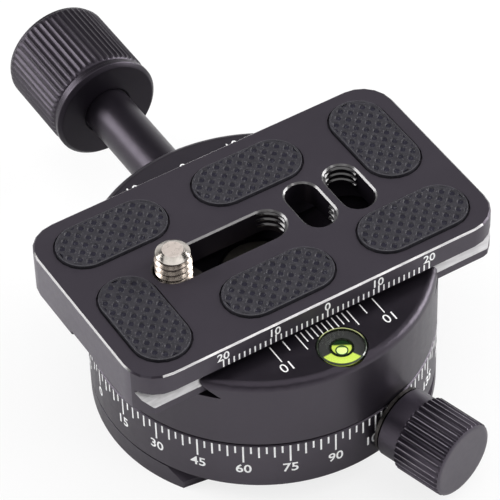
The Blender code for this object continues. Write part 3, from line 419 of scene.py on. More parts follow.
class Look(Enum):
    """Every finish of the head."""

    ANODISED = Anodised("satin black anodised")
    ANODISED_BASE = Anodised("satin black anodised base", roughness=0.38, shine=0.75)
    DECK = Anodised(
        "bead blasted deck", (0.0200, 0.0175, 0.0225), (0.0238, 0.0210, 0.0268), 0.46, 0.13, 0.008, 0.6
    )
    # Painted light: the plate's end faces take a lighter, shinier coat than its sides.
    PLATE_END_LIT = Anodised(
        "plate end with painted light", (0.030, 0.028, 0.034), (0.040, 0.037, 0.045), 0.40, 0.14, 0.008, 1.0
    )
    # Painted shade: the knob's near face takes a copy of the coat that reflects less, so it looks darker.
    KNOB_FACE_SHADED = Anodised("knob face with painted shade", roughness=0.40, grain=0.12, grain_depth=0.002, shine=0.22)
    JAW_TOP = Anodised(
        "blasted jaw top", (0.0130, 0.0115, 0.0148), (0.0155, 0.0138, 0.0175), 0.42, 0.13, 0.006, 0.6
    )
    KNOB = Anodised("knob black anodised", grain=0.12, grain_depth=0.002, shine=0.5)
    LOCK = Anodised(
        "lock knob black", (0.006, 0.0050, 0.0078), (0.010, 0.0085, 0.0125), 0.34, 0.12, 0.001, 0.8
    )
    # Rubbed wear and a painted highlight: the lock knob's crests take a lighter coat.
    CREST_WEAR_AND_HIGHLIGHT = Anodised("rubbed knurl crest with painted highlight", (0.10, 0.095, 0.11), (0.20, 0.19, 0.21), 0.26, 0.12, 0.001, 1.0)
    # Partly bare cut edge, partly painted highlight: a bright coat for the plate's chamfers along Y.
    CUT_EDGE_HIGHLIGHT = CutEdge("bright cut edge with painted highlight")
    THREAD = Anodised("cut thread", roughness=0.17, grain=0.3, grain_depth=0.001, shine=1.0, glint=PLAIN_GLINT)
    # Partly broken edge, partly painted highlight: a lighter coat for the plate's end chamfers and slot rims.
    SOFT_EDGE_HIGHLIGHT = Anodised(
        "broken edge with painted highlight", (0.05, 0.048, 0.05), (0.10, 0.097, 0.10), 0.20, 0.3, 0.001, 1.0, PLAIN_GLINT
    )
    SAWN = CutEdge("sawn flank", (0.50, 0.49, 0.50), (0.68, 0.67, 0.68), 0.42, 0.6)
    TURNED_END = CutEdge("bright turned end", (0.49, 0.43, 0.39), (0.59, 0.52, 0.48), 0.30, 0.15)
    ROLLED = CutEdge("rolled thread", (0.24, 0.20, 0.17), (0.44, 0.38, 0.33), 0.24, 0.9)
    STEEL = TurnedMetal("polished steel", (0.36, 0.33, 0.30), (0.66, 0.62, 0.57), 0.18)
    DULL_STEEL = TurnedMetal("dull steel", (0.34, 0.31, 0.28), (0.40, 0.37, 0.33), 0.48, 0.001, 0.02)
    DARK_STEEL = TurnedMetal("blackened steel", (0.05, 0.048, 0.045), (0.11, 0.10, 0.095), 0.34)
    WARM_STEEL = TurnedMetal("warm steel", (0.30, 0.25, 0.22), (0.52, 0.45, 0.40), 0.30)
    BRASS = TurnedMetal("turned brass", (0.50, 0.36, 0.17), (0.66, 0.50, 0.26), 0.30)
    RUBBER = Rubber("pad rubber")
    # Painted shade: the pits' floors take a darker rubber.
    RUBBER_PIT_SHADE = Rubber("pad rubber with painted shade in its pits", (0.011, 0.0100, 0.018), (0.018, 0.0162, 0.028), 0.7, 0.2)
    # Painted highlight: a lighter rubber on the pads' rounded top edge.
    RUBBER_EDGE_LIT = Rubber("pad rubber with painted highlight at its edge", (0.024, 0.022, 0.029), (0.036, 0.034, 0.044), 0.36, 0.8)
    NYLON = Plastic("white nylon", (0.62, 0.61, 0.58), (0.74, 0.73, 0.70))
    PRINT = Plastic("white filled engraving", (0.90, 0.90, 0.90), (0.98, 0.98, 0.98), 0.55)
    RING_INK = Plastic("black vial ring", (0.003, 0.006, 0.002), (0.007, 0.010, 0.004), 0.3)
    # Painted shade: a dark green ring round the bubble's edge.
    AIR_EDGE_SHADE = Plastic("painted dark edge of the bubble", (0.020, 0.065, 0.045), (0.035, 0.090, 0.060), 0.2)
    VIAL_SEAT = Plastic("black vial seat", (0.004, 0.004, 0.004), (0.010, 0.010, 0.009), 0.4)
    ACRYLIC = ClearAcrylic("clear acrylic")
    # Painted light and a painted glow: the spirit, the well, the window's edge and the bubble are lit on one
    # side by their colour and emission, not by the lamps.
    LIQUID = Liquid("lime spirit with painted light")
    WELL = Liquid("painted lime light in the well", (0.050, 0.044, 0.056), start=0.46, end=0.62, by_angle=True)
    RIM_PAINTED_GLOW = Liquid(
        "lime edge of the window with painted light",
        (0.030, 0.040, 0.026),
        (0.52, 0.55, 0.27),
        (0.508, 0.861),
        start=0.1,
        end=0.9,
        by_angle=True,
        shine=1.0,
        roughness=0.08,
    )
    BUBBLE = Liquid("bubble in the spirit with painted light", (0.10, 0.18, 0.03), (0.88, 0.95, 0.42), start=-0.4, end=0.4)

    @cache
    def material(self) -> Material:
        """Returns the finish's material, made at its first use."""
        return self.value.material()


# ---------------------------------------------------------------- mesh tools


class Work:
    """A mesh under construction, in millimetres."""

    def __init__(
        self,
        name: str,
        body: Body,
        slot: Slot = Slot.BLACK_ANODISED,
        replaced: str = "",
        weighted: bool = False,
    ) -> None:
        """Starts an empty mesh.

        Args:
            name: The finished piece's name.
            body: The body it rides on.
            slot: The record's slot, which is stored and not used.
            replaced: The CAD node it stands for, if any.
            weighted: Whether its flat faces keep their shading beside rounded edges.
        """
        self.name, self.body, self.slot = name, body, slot
        self.replaced, self.weighted = replaced, weighted
        self.bm = bmesh.new()

    @classmethod
    def from_node(
        cls, node: str, name: str, body: Body, slot: Slot = Slot.BLACK_ANODISED
    ) -> "Work":
        """Starts from a merged copy of a CAD node, with its flat faces whole again.

        Args:
            node: The CAD node's name.
            name: The finished piece's name.
            body: The body it rides on.
            slot: The record's slot, which is passed on and not used.

        Returns:
            The mesh under construction.
        """
        work = cls(name, body, slot, node, True)
        work.bm.from_mesh(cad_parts[node].data)
        bmesh.ops.scale(work.bm, vec=(1.0 / METRE,) * 3, verts=work.bm.verts)
        work.weld(work.bm.verts)
        work.flatten()
        for face in work.bm.faces:
            face.material_index = 0
        return work

    def everything(self) -> list:
        """Returns all vertices, edges and faces."""
        return self.bm.verts[:] + self.bm.edges[:] + self.bm.faces[:]

    def flatten(self) -> None:
        """Joins faces that lie in one plane."""
        bmesh.ops.dissolve_limit(
            self.bm,
            angle_limit=FLAT_ANGLE,
            verts=self.bm.verts,
            edges=self.bm.edges,
            use_dissolve_boundaries=False,
        )

    def weld(self, verts: Iterable[bmesh.types.BMVert], distance: float = WELD) -> None:
        """Merges doubled vertices."""
        bmesh.ops.remove_doubles(self.bm, verts=verts, dist=distance)

    def chain(self, points: Iterable[Vector | tuple], closed: bool = True) -> tuple[list, list]:
        """Adds a line of points.

        Args:
            points: Where they lie.
            closed: Whether the last point joins the first.

        Returns:
            The new vertices and the new edges.
        """
        verts = [self.bm.verts.new(point) for point in points]
        ends = verts[1:] + verts[:1] if closed else verts[1:]
        return verts, [self.bm.edges.new(pair) for pair in zip(verts, ends)]

    def spin(self, geom: list, angle: float, steps: int, rise: float = 0.0, merge: bool = False) -> None:
        """Spins geometry about Z.

        Args:
            geom: The vertices, edges and faces.
            angle: How far they turn.
            steps: How many steps they take.
            rise: How far each step climbs.
            merge: Whether the last step joins the first.
        """
        bmesh.ops.spin(
            self.bm,
            geom=geom,
            cent=(0.0, 0.0, 0.0),
            axis=(0.0, 0.0, 1.0),
            dvec=(0.0, 0.0, rise),
            angle=angle,
            steps=steps,
            use_merge=merge,
        )

    def turned(self, profile: Iterable[Pair], steps: int, closed: bool = False) -> None:
        """Spins a profile once round Z.

        Args:
            profile: Points as (radius, height).
            steps: How many steps make the full turn.
            closed: Whether the last point joins the first.
        """
        verts, edges = self.chain([(radius, 0.0, height) for radius, height in profile], closed)
        self.spin(verts + edges, math.tau, steps, merge=True)
        self.weld(self.bm.verts)

    def thread(
        self, radius: float, depth: float, pitch: float, start: float, turns: float, steps: int
    ) -> None:
        """Spins a screw thread's ridge about Z.

        Args:
            radius: Where the ridge stands on its core or wall.
            depth: How far its crest stands out, or in if negative.
            pitch: The rise of one turn.
            start: The height where it starts.
            turns: How many turns it has.
            steps: How many steps make one turn.
        """
        reaches = radius - math.copysign(THREAD_ROOT, depth), radius + depth
        shape = [(reaches[round(out)], 0.0, start + pitch * up) for out, up in THREAD_RIDGE]
        verts, edges = self.chain(shape)
        count = round(steps * turns)
        self.spin(verts + edges, math.tau * turns, count, pitch * turns / count)
        ends = [edge for edge in self.bm.edges if edge.is_boundary]
        bmesh.ops.holes_fill(self.bm, edges=ends, sides=4)

    def box(self, size: Triple, place: Matrix) -> None:
        """Adds a box of that size, centred on place."""
        bmesh.ops.create_cube(self.bm, size=1.0, matrix=place @ Matrix.Diagonal((*size, 1.0)))

    def bevel(
        self,
        chosen: Callable[[bmesh.types.BMEdge], bool],
        width: float,
        segments: int = 2,
        clamp: bool = True,
    ) -> list:
        """Bevels the edges that a test picks.

        Args:
            chosen: The test.
            width: The bevel's offset.
            segments: How many segments it has.
            clamp: Whether it stops before it meets another edge.

        Returns:
            The new faces.
        """
        edges = [edge for edge in self.bm.edges if edge.is_manifold and chosen(edge)]
        made = bmesh.ops.bevel(
            self.bm,
            geom=edges,
            offset=width,
            offset_type="OFFSET",
            affect="EDGES",
            segments=segments,
            profile=0.5,
            material=-1,
            clamp_overlap=clamp,
        )
        return made["faces"]

    def soften(self, width: float) -> None:
        """Bevels every sharp edge that turns outwards."""
        self.bevel(lambda edge: edge.calc_face_angle_signed(0.0) > SOFTEN_ANGLE, width, 1)

    def inset(self, faces: list, thickness: float, depth: float = 0.0) -> None:
        """Insets each face by its own outline, and moves it along its normal by depth."""
        bmesh.ops.inset_individual(
            self.bm, faces=faces, thickness=thickness, depth=depth, use_even_offset=True
        )

    def refine_rounds(self, phase: float = 0.0, cuts: int = 2, steps: int = 60) -> None:
        """Gives the coarse rounds about Z more steps.

        Args:
            phase: The turn of their first step in degrees.
            cuts: How many cuts each step gets.
            steps: How many steps the rounds have.
        """
        fine = steps * (cuts + 1)
        first, half = math.radians(phase), math.pi / steps
        for number in range(fine // 2):
            if number % (cuts + 1):
                turn = first + math.tau * number / fine
                bmesh.ops.bisect_plane(
                    self.bm,
                    geom=self.everything(),
                    dist=CUT_TOLERANCE,
                    plane_co=(0.0, 0.0, 0.0),
                    plane_no=(-math.sin(turn), math.cos(turn), 0.0),
                )
        reaches = {}
        for vert in self.bm.verts:
            for face in vert.link_faces:
                side = face.normal.xy
                share = (math.atan2(side.y, side.x) - first) / (2 * half) % 1.0
                if side.length < 0.1 or abs(share - 0.5) > NEAR:
                    continue
                side.normalize()
                reach = abs(side.dot(vert.co.xy))
                if abs(side.cross(vert.co.xy)) < reach * math.tan(half) + NEAR:
                    reaches[vert] = reach / math.cos(half)
                    break
        for vert, reach in reaches.items():
            vert.co.xy *= reach / vert.co.xy.length
        self.flatten()

    def wrap(self, verts: Iterable[bmesh.types.BMVert], radius: float, turn: float, height: float) -> None:
        """Lays flat lettering round a cylinder about Z.

        Args:
            verts: The lettering's vertices, with X along the line and Z off the surface.
            radius: The cylinder's radius.
            turn: The angle of the lettering's middle, in degrees.
            height: The height of its baseline.
        """
        for vert in verts:
            angle = math.radians(turn) + vert.co.x / radius
            reach = radius + vert.co.z
            vert.co = (reach * math.cos(angle), reach * math.sin(angle), height + vert.co.y)

    def letters(self, words: str, height: float, weight: float = 0.0) -> list:
        """Adds flat lettering at the origin, centred on X and standing on Y = 0.

        Args:
            words: The plain figures.
            height: Their height.
            weight: How much bolder than the plain face they are, in shares of the height.

        Returns:
            The new vertices.
        """
        curve = bpy.data.curves.new("lettering", "FONT")
        curve.body, curve.align_x = words, "CENTER"
        curve.extrude, curve.offset = PROUD / height, weight
        curve.resolution_u = 3
        holder = bpy.data.objects.new("lettering", curve)
        bpy.context.scene.collection.objects.link(holder)
        bpy.context.view_layer.update()
        graph = bpy.context.evaluated_depsgraph_get()
        mesh = bpy.data.meshes.new_from_object(holder.evaluated_get(graph))
        bpy.data.objects.remove(holder, do_unlink=True)
        bpy.data.curves.remove(curve)
        before = set(self.bm.verts)
        self.bm.from_mesh(mesh)
        bpy.data.meshes.remove(mesh)
        self.weld([vert for vert in self.bm.verts if vert not in before], 1e-5)
        made = [vert for vert in self.bm.verts if vert not in before]
        along, up = [vert.co.x for vert in made], [vert.co.y for vert in made]
        middle, low = (min(along) + max(along)) / 2, min(up)
        scale = height / (max(up) - low)
        for vert in made:
            x, y, side = vert.co
            vert.co = ((x - middle) * scale, (y - low) * scale, math.copysign(PROUD, side))
        return made

    def move(self, place: Matrix, verts: Iterable[bmesh.types.BMVert] | None = None) -> None:
        """Moves the given vertices, or all of them, by a matrix."""
        bmesh.ops.transform(self.bm, matrix=place, verts=list(verts or self.bm.verts))

    def finish(self, *looks: Look) -> None:
        """Turns the work into a finished piece on its body.

        Args:
            *looks: Its finishes, in the order of the faces' indices.
        """
        bmesh.ops.recalc_face_normals(self.bm, faces=self.bm.faces)
        for face in self.bm.faces:
            face.smooth = True
        for edge in self.bm.edges:
            edge.smooth = not edge.is_manifold or edge.calc_face_angle(0.0) < SMOOTH_ANGLE
        bmesh.ops.scale(self.bm, vec=(METRE,) * 3, verts=self.bm.verts)
        mesh = bpy.data.meshes.new(self.name)
        self.bm.to_mesh(mesh)
        self.bm.free()
        for look in looks:
            mesh.materials.append(look.material())
        piece = bpy.data.objects.new(self.name, mesh)
        bpy.context.scene.collection.objects.link(piece)
        if self.weighted:
            piece.modifiers.new("Flat faces", "WEIGHTED_NORMAL").keep_sharp = True
        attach(piece, self.body.value)
        if self.replaced:
            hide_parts(self.replaced)
        log.info("%s: %d faces on %s", self.name, len(mesh.polygons), self.body.value)


def paint(look: Look, *nodes: str) -> None:
    """Gives shown CAD nodes a finish by their material slots."""
    for node in nodes:
        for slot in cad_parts[node].material_slots:
            slot.material = look.material()
        log.info("%s: %s", node, look.value.name)


def shift(x: float, y: float, z: float) -> Matrix:
    """Returns a plain move."""
    return Matrix.Translation((x, y, z))


def turn_z(degrees: float) -> Matrix:
    """Returns a turn about Z."""
    return Matrix.Rotation(math.radians(degrees), 4, "Z")


# ---------------------------------------------------------------- sub-assemblies


@dataclass
class Base:
    """The base plate, dial ring, bush, pivot and their screws."""

    phase: float = -8.0
    edge: float = 0.12
    bush_bore: float = 4.6
    bush_pitch: float = 1.5875
    bush_depth: float = 0.42
    bush_turns: float = 4.6
    bush_start: float = 0.5
    bush_steps: int = 36

    def build(self) -> None:
        """Builds the base and its bush's thread."""
        plate = Work.from_node("base_plate", "base_plate_body", Body.BASE)
        ring = Work.from_node("dial_ring", "dial_ring_body", Body.BASE)
        for work in (plate, ring):
            work.refine_rounds(self.phase)
        plate.soften(self.edge)
        for work in (plate, ring):
            work.finish(Look.ANODISED_BASE)
        thread = Work("bush_thread", Body.BASE, Slot.BRASS)
        thread.thread(
            self.bush_bore,
            -self.bush_depth,
            self.bush_pitch,
            self.bush_start,
            self.bush_turns,
            self.bush_steps,
        )
        thread.finish(Look.BRASS)
        paint(Look.BRASS, "tripod_bush")
        paint(Look.DULL_STEEL, "pivot_bolt")
        paint(Look.WARM_STEEL, "pivot_washer")
        paint(Look.NYLON, "slip_washer")
        paint(Look.DARK_STEEL, *(f"base_screw_{number}" for number in range(1, 5)))


@dataclass
class DialScale:
    """The degree scale round the dial ring."""

    radius: float = 30.0
    top: float = 13.95
    step: float = 2.5
    line_width: float = 0.30
    zero_turn: float = 172.0
    lengths: Triple = (3.9, 2.65, 1.65)
    figure_height: float = 2.05
    figure_base: float = 7.45
    figure_step: int = 15
    weight: float = 0.015

    def line_length(self, mark: float) -> float:
        """Returns the length of the line at a mark in degrees."""
        if mark % self.figure_step == 0.0:
            return self.lengths[0]
        return self.lengths[1] if mark % 5.0 == 0.0 else self.lengths[2]

    def build(self) -> None:
        """Builds the lines and figures."""
        lines = Work("dial_lines", Body.BASE)
        for number in range(round(360.0 / self.step)):
            mark = number * self.step
            length = self.line_length(mark)
            place = turn_z(self.zero_turn + mark) @ shift(self.radius, 0.0, self.top - length / 2)
            lines.box((2 * PROUD, self.line_width, length), place)
        lines.finish(Look.PRINT)
        figures = Work("dial_figures", Body.BASE)
        for mark in range(0, 360, self.figure_step):
            verts = figures.letters(str(mark), self.figure_height, self.weight)
            figures.wrap(verts, self.radius, self.zero_turn + mark, self.figure_base)
        figures.finish(Look.PRINT)


@dataclass
class Clamp:
    """The clamp body and its moving jaw."""

    edge: float = 0.14
    index_radius: float = 30.0
    index_low: float = 14.9
    index_size: Triple = (0.04, 0.35, 3.0)

    def build(self) -> None:
        """Builds the clamp's body, moving jaw and index line."""
        body = Work.from_node("clamp_body", "clamp_body_shell", Body.CLAMP)
        jaw = Work.from_node("moving_jaw", "moving_jaw_shell", Body.JAW)
        for work in (body, jaw):
            work.refine_rounds()
            work.soften(self.edge)
        for face in jaw.bm.faces:
            if face.normal.z > FACES_UP:
                face.material_index = 1
        body.finish(Look.ANODISED)
        jaw.finish(Look.ANODISED, Look.JAW_TOP)
        index = Work("pan_index", Body.CLAMP)
        index.box(self.index_size, shift(self.index_radius, 0.0, self.index_low + self.index_size[2] / 2))
        index.finish(Look.PRINT)
        paint(Look.STEEL, "guide_pin_left", "guide_pin_right")


@dataclass
class JawScale:
    """The centring lines and figures on the jaws' tops."""

    height: float = 28.9
    line_width: float = 0.21
    start: float = -18.98
    short_end: float = -21.33
    long_end: float = -22.76
    short_marks: tuple[float, ...] = (0.0, 1.0, 2.0, 3.0, 4.0, 7.5)
    long_marks: tuple[float, ...] = (5.0, 10.0)
    figure_height: float = 1.9
    figure_gap: float = 0.4
    rear_top: float = 25.5

    def marks(self) -> list[Pair]:
        """Returns each line's place along X and its end along Y."""
        rows = [(mark, self.short_end) for mark in self.short_marks]
        rows += [(mark, self.long_end) for mark in self.long_marks]
        return rows + [(-mark, end) for mark, end in rows if mark]

    def build(self) -> None:
        """Builds both jaws' scales."""
        lines = Work("jaw_lines", Body.CLAMP)
        for x, end in self.marks():
            size = (self.line_width, self.start - end, 2 * PROUD)
            lines.box(size, shift(x, (self.start + end) / 2, self.height))
        for x in (-10.0, 10.0):
            place = shift(x, self.long_end - self.figure_gap, self.height) @ turn_z(180.0)
            lines.move(place, lines.letters("10", self.figure_height))
        lines.finish(Look.PRINT)
        rear = Work("rear_jaw_figures", Body.JAW)
        for words, x in (("10", -10.0), ("0", 0.0), ("10", 10.0)):
            place = shift(x, self.rear_top - self.figure_height, self.height)
            rear.move(place, rear.letters(words, self.figure_height))
        rear.finish(Look.PRINT)


@dataclass
class Level:
    """The round level in the fixed jaw, its profiles given as (radius, height) about its axis."""

    window: Profile = (
        (0.0, 29.1), (3.6, 29.1), (3.98, 29.0), (4.1, 28.88), (4.1, 28.1), (3.88, 28.1), (3.88, 28.8),
        (0.0, 28.8),
    )
    rim_painted_glow: Profile = ((4.12, 28.78), (4.12, 28.9), (3.97, 29.08), (3.91, 29.08), (3.89, 28.94))
    spirit: Profile = ((0.0, 28.55), (1.85, 28.55), (1.85, 28.1), (1.75, 26.4), (0.0, 26.4))
    well: Profile = ((1.87, 28.55), (3.75, 28.55), (3.75, 28.15), (1.87, 28.15))
    ring: Profile = ((1.65, 28.66), (2.05, 28.66), (2.05, 28.53), (1.65, 28.53))
    air_edge: Profile = ((0.90, 28.66), (1.08, 28.66), (1.08, 28.53), (0.90, 28.53))
    air_place: Pair = (-0.32, -0.54)
    air_radius: float = 0.92
    air_low: float = 28.53
    air_high: float = 28.55
    air_rise: float = 0.14
    air_steps: int = 32
    dome_steps: int = 5
    steps: int = 64

    def air(self) -> list[Pair]:
        """Returns the bubble's domed profile."""
        dome = [(0.0, self.air_low), (self.air_radius, self.air_low)]
        for step in range(self.dome_steps):
            turn = step * QUARTER / self.dome_steps
            dome.append((self.air_radius * math.cos(turn), self.air_high + self.air_rise * math.sin(turn)))
        return dome + [(0.0, self.air_high + self.air_rise)]

    def build(self) -> None:
        """Builds the window, its rim with a painted glow, the spirit, the well, the ring, the bubble and its
        edge.
        """
        lime = Slot.LIME_LIQUID
        still, afloat = (self.steps, (0.0, 0.0)), (self.air_steps, self.air_place)
        # The rim, spirit, well and bubble carry painted light; the bubble's dark edge is painted shade.
        for name, profile, (steps, drift), slot, look, replaced in (
            ("window", self.window, still, Slot.CLEAR_ACRYLIC, Look.ACRYLIC, "level_vial"),
            ("rim_painted_glow", self.rim_painted_glow, still, lime, Look.RIM_PAINTED_GLOW, ""),
            ("spirit", self.spirit, still, lime, Look.LIQUID, "level_liquid"),
            ("well", self.well, still, lime, Look.WELL, ""),
            ("ring", self.ring, still, lime, Look.RING_INK, ""),
            ("air", self.air(), afloat, Slot.BUBBLE, Look.BUBBLE, "level_bubble"),
            ("air_edge", self.air_edge, afloat, lime, Look.AIR_EDGE_SHADE, ""),
        ):
            work = Work(f"level_{name}", Body.CLAMP, slot, replaced)
            work.turned(profile, steps, closed=profile[0][0] > 0.0)
            work.move(shift(*LEVEL_PLACE, 0.0) @ shift(*drift, 0.0))
            work.finish(look)
        paint(Look.VIAL_SEAT, "level_seat")


@dataclass
class Fluted:
    """A knob with a fluted grip, its profile given as (radius, distance along its axis)."""

    height: float
    grip: Profile
    flutes: int
    flute_depth: float
    flute_span: Pair
    flute_steps: int
    least_reach: float

    def cut(self, work: Work, phase: float = 0.0, land: float = 0.0) -> None:
        """Builds the fluted grip about Z.

        Args:
            work: The grip under construction.
            phase: The turn between a crest and a vertex.
            land: How much of each wave stays flat on its crest.
        """
        work.turned(self.grip, self.flutes * self.flute_steps)
        least = math.sin(phase)
        for vert in work.bm.verts:
            reach = vert.co.xy.length
            if self.flute_span[0] < vert.co.z < self.flute_span[1] and reach > self.least_reach:
                share = abs(math.sin(self.flutes * math.atan2(vert.co.y, vert.co.x) / 2 + phase))
                wave = max(0.0, (share - least - land) / (1.0 - least))
                vert.co.xy *= 1.0 - self.flute_depth * wave / reach


@dataclass
class ClampKnob(Fluted):
    """The clamp's knob."""

    height: float = 21.2
    grip: Profile = (
        (0.0, 51.8), (4.45, 51.8), (4.6, 51.7), (4.64, 51.58), (4.74, 51.5), (9.05, 51.5), (9.22, 51.5),
        (9.34, 51.56), (9.87, 52.08), (9.95, 52.2), (9.95, 52.8), (9.88, 52.9), (9.45, 53.08), (9.45, 53.9),
        (9.6, 54.05), (9.85, 54.35), (9.95, 54.95), (9.95, 68.45), (9.95, 69.25), (9.87, 69.45), (9.7, 69.55),
        (9.64, 70.04), (9.25, 70.2), (7.6, 70.2), (7.5, 69.95), (0.0, 69.95),
    )
    sleeve: Profile = ((3.2, 30.0), (4.0, 30.0), (4.35, 30.35), (4.35, 59.5), (3.2, 59.5))
    face_end: float = 51.9
    flutes: int = 56
    flute_depth: float = 0.24
    flute_span: Pair = (54.25, 68.95)
    flute_steps: int = 6
    least_reach: float = 9.0
    sleeve_steps: int = 64

    def build(self) -> None:
        """Builds the grip, sleeve and washer."""
        place = shift(0.0, 0.0, self.height) @ Matrix.Rotation(-QUARTER, 4, "X")
        grip = Work("knob_grip_fluted", Body.CLAMP_KNOB, Slot.KNOB_BLACK, "knob_grip")
        self.cut(grip)
        # The near face takes the duller coat: painted shade.
        for face in grip.bm.faces:
            if face.calc_center_median().z < self.face_end:
                face.material_index = 1
        grip.move(place)
        grip.finish(Look.KNOB, Look.KNOB_FACE_SHADED)
        sleeve = Work("knob_sleeve_tube", Body.CLAMP_KNOB, Slot.KNOB_BLACK, "knob_sleeve")
        sleeve.turned(self.sleeve, self.sleeve_steps, closed=True)
        sleeve.move(place)
        sleeve.finish(Look.KNOB)
        paint(Look.STEEL, "clamp_screw")
        paint(Look.DARK_STEEL, "knob_washer")


@dataclass
class PanLock(Fluted):
    """The pan lock's knob."""

    height: float = 9.2
    grip: Profile = (
        (0.0, 31.2), (6.18, 31.2), (6.3, 31.32), (6.3, 34.78), (6.3, 34.9), (6.7, 35.05), (6.9, 35.35),
        (6.9, 43.8), (6.84, 44.06), (6.68, 44.26), (6.4, 44.44), (6.05, 44.5), (5.7, 44.5), (0.0, 44.5),
    )
    flutes: int = 36
    flute_depth: float = 0.50
    flute_span: Pair = (34.95, 44.1)
    flute_steps: int = 8
    least_reach: float = 6.5
    turn: float = -73.6
    land: float = 0.01
    crest_start: float = 35.2
    crest_reach: float = 6.88

    def on_crest(self, vert: bmesh.types.BMVert) -> bool:
        """Returns whether a vertex lies on the crest of a flute."""
        return self.crest_start < vert.co.z < self.flute_span[1] and vert.co.xy.length > self.crest_reach

    def build(self) -> None:
        """Builds the knob."""
        knob = Work("lock_knob_fluted", Body.LOCK_KNOB, Slot.LOCK_BLACK, "lock_knob")
        self.cut(knob, math.pi / self.flute_steps / 2, self.land)
        # The crests take the lighter coat: partly rubbed wear, partly painted highlight.
        for face in knob.bm.faces:
            if all(self.on_crest(vert) for vert in face.verts):
                face.material_index = 1
        knob.move(shift(0.0, 0.0, self.height) @ turn_z(self.turn) @ Matrix.Rotation(QUARTER, 4, "Y"))
        knob.finish(Look.LOCK, Look.CREST_WEAR_AND_HIGHLIGHT)
        paint(Look.DARK_STEEL, "lock_washer")
        paint(Look.STEEL, "lock_screw")
        paint(Look.NYLON, "brake_plug")


class PlateFace(IntEnum):
    """The plate's faces by their finish, in the order of its materials."""

    DECK = 0
    CUT_EDGE_HIGHLIGHT = 1
    SAWN = 2
    SOFT_EDGE_HIGHLIGHT = 3
    SHADED = 4
    END = 5


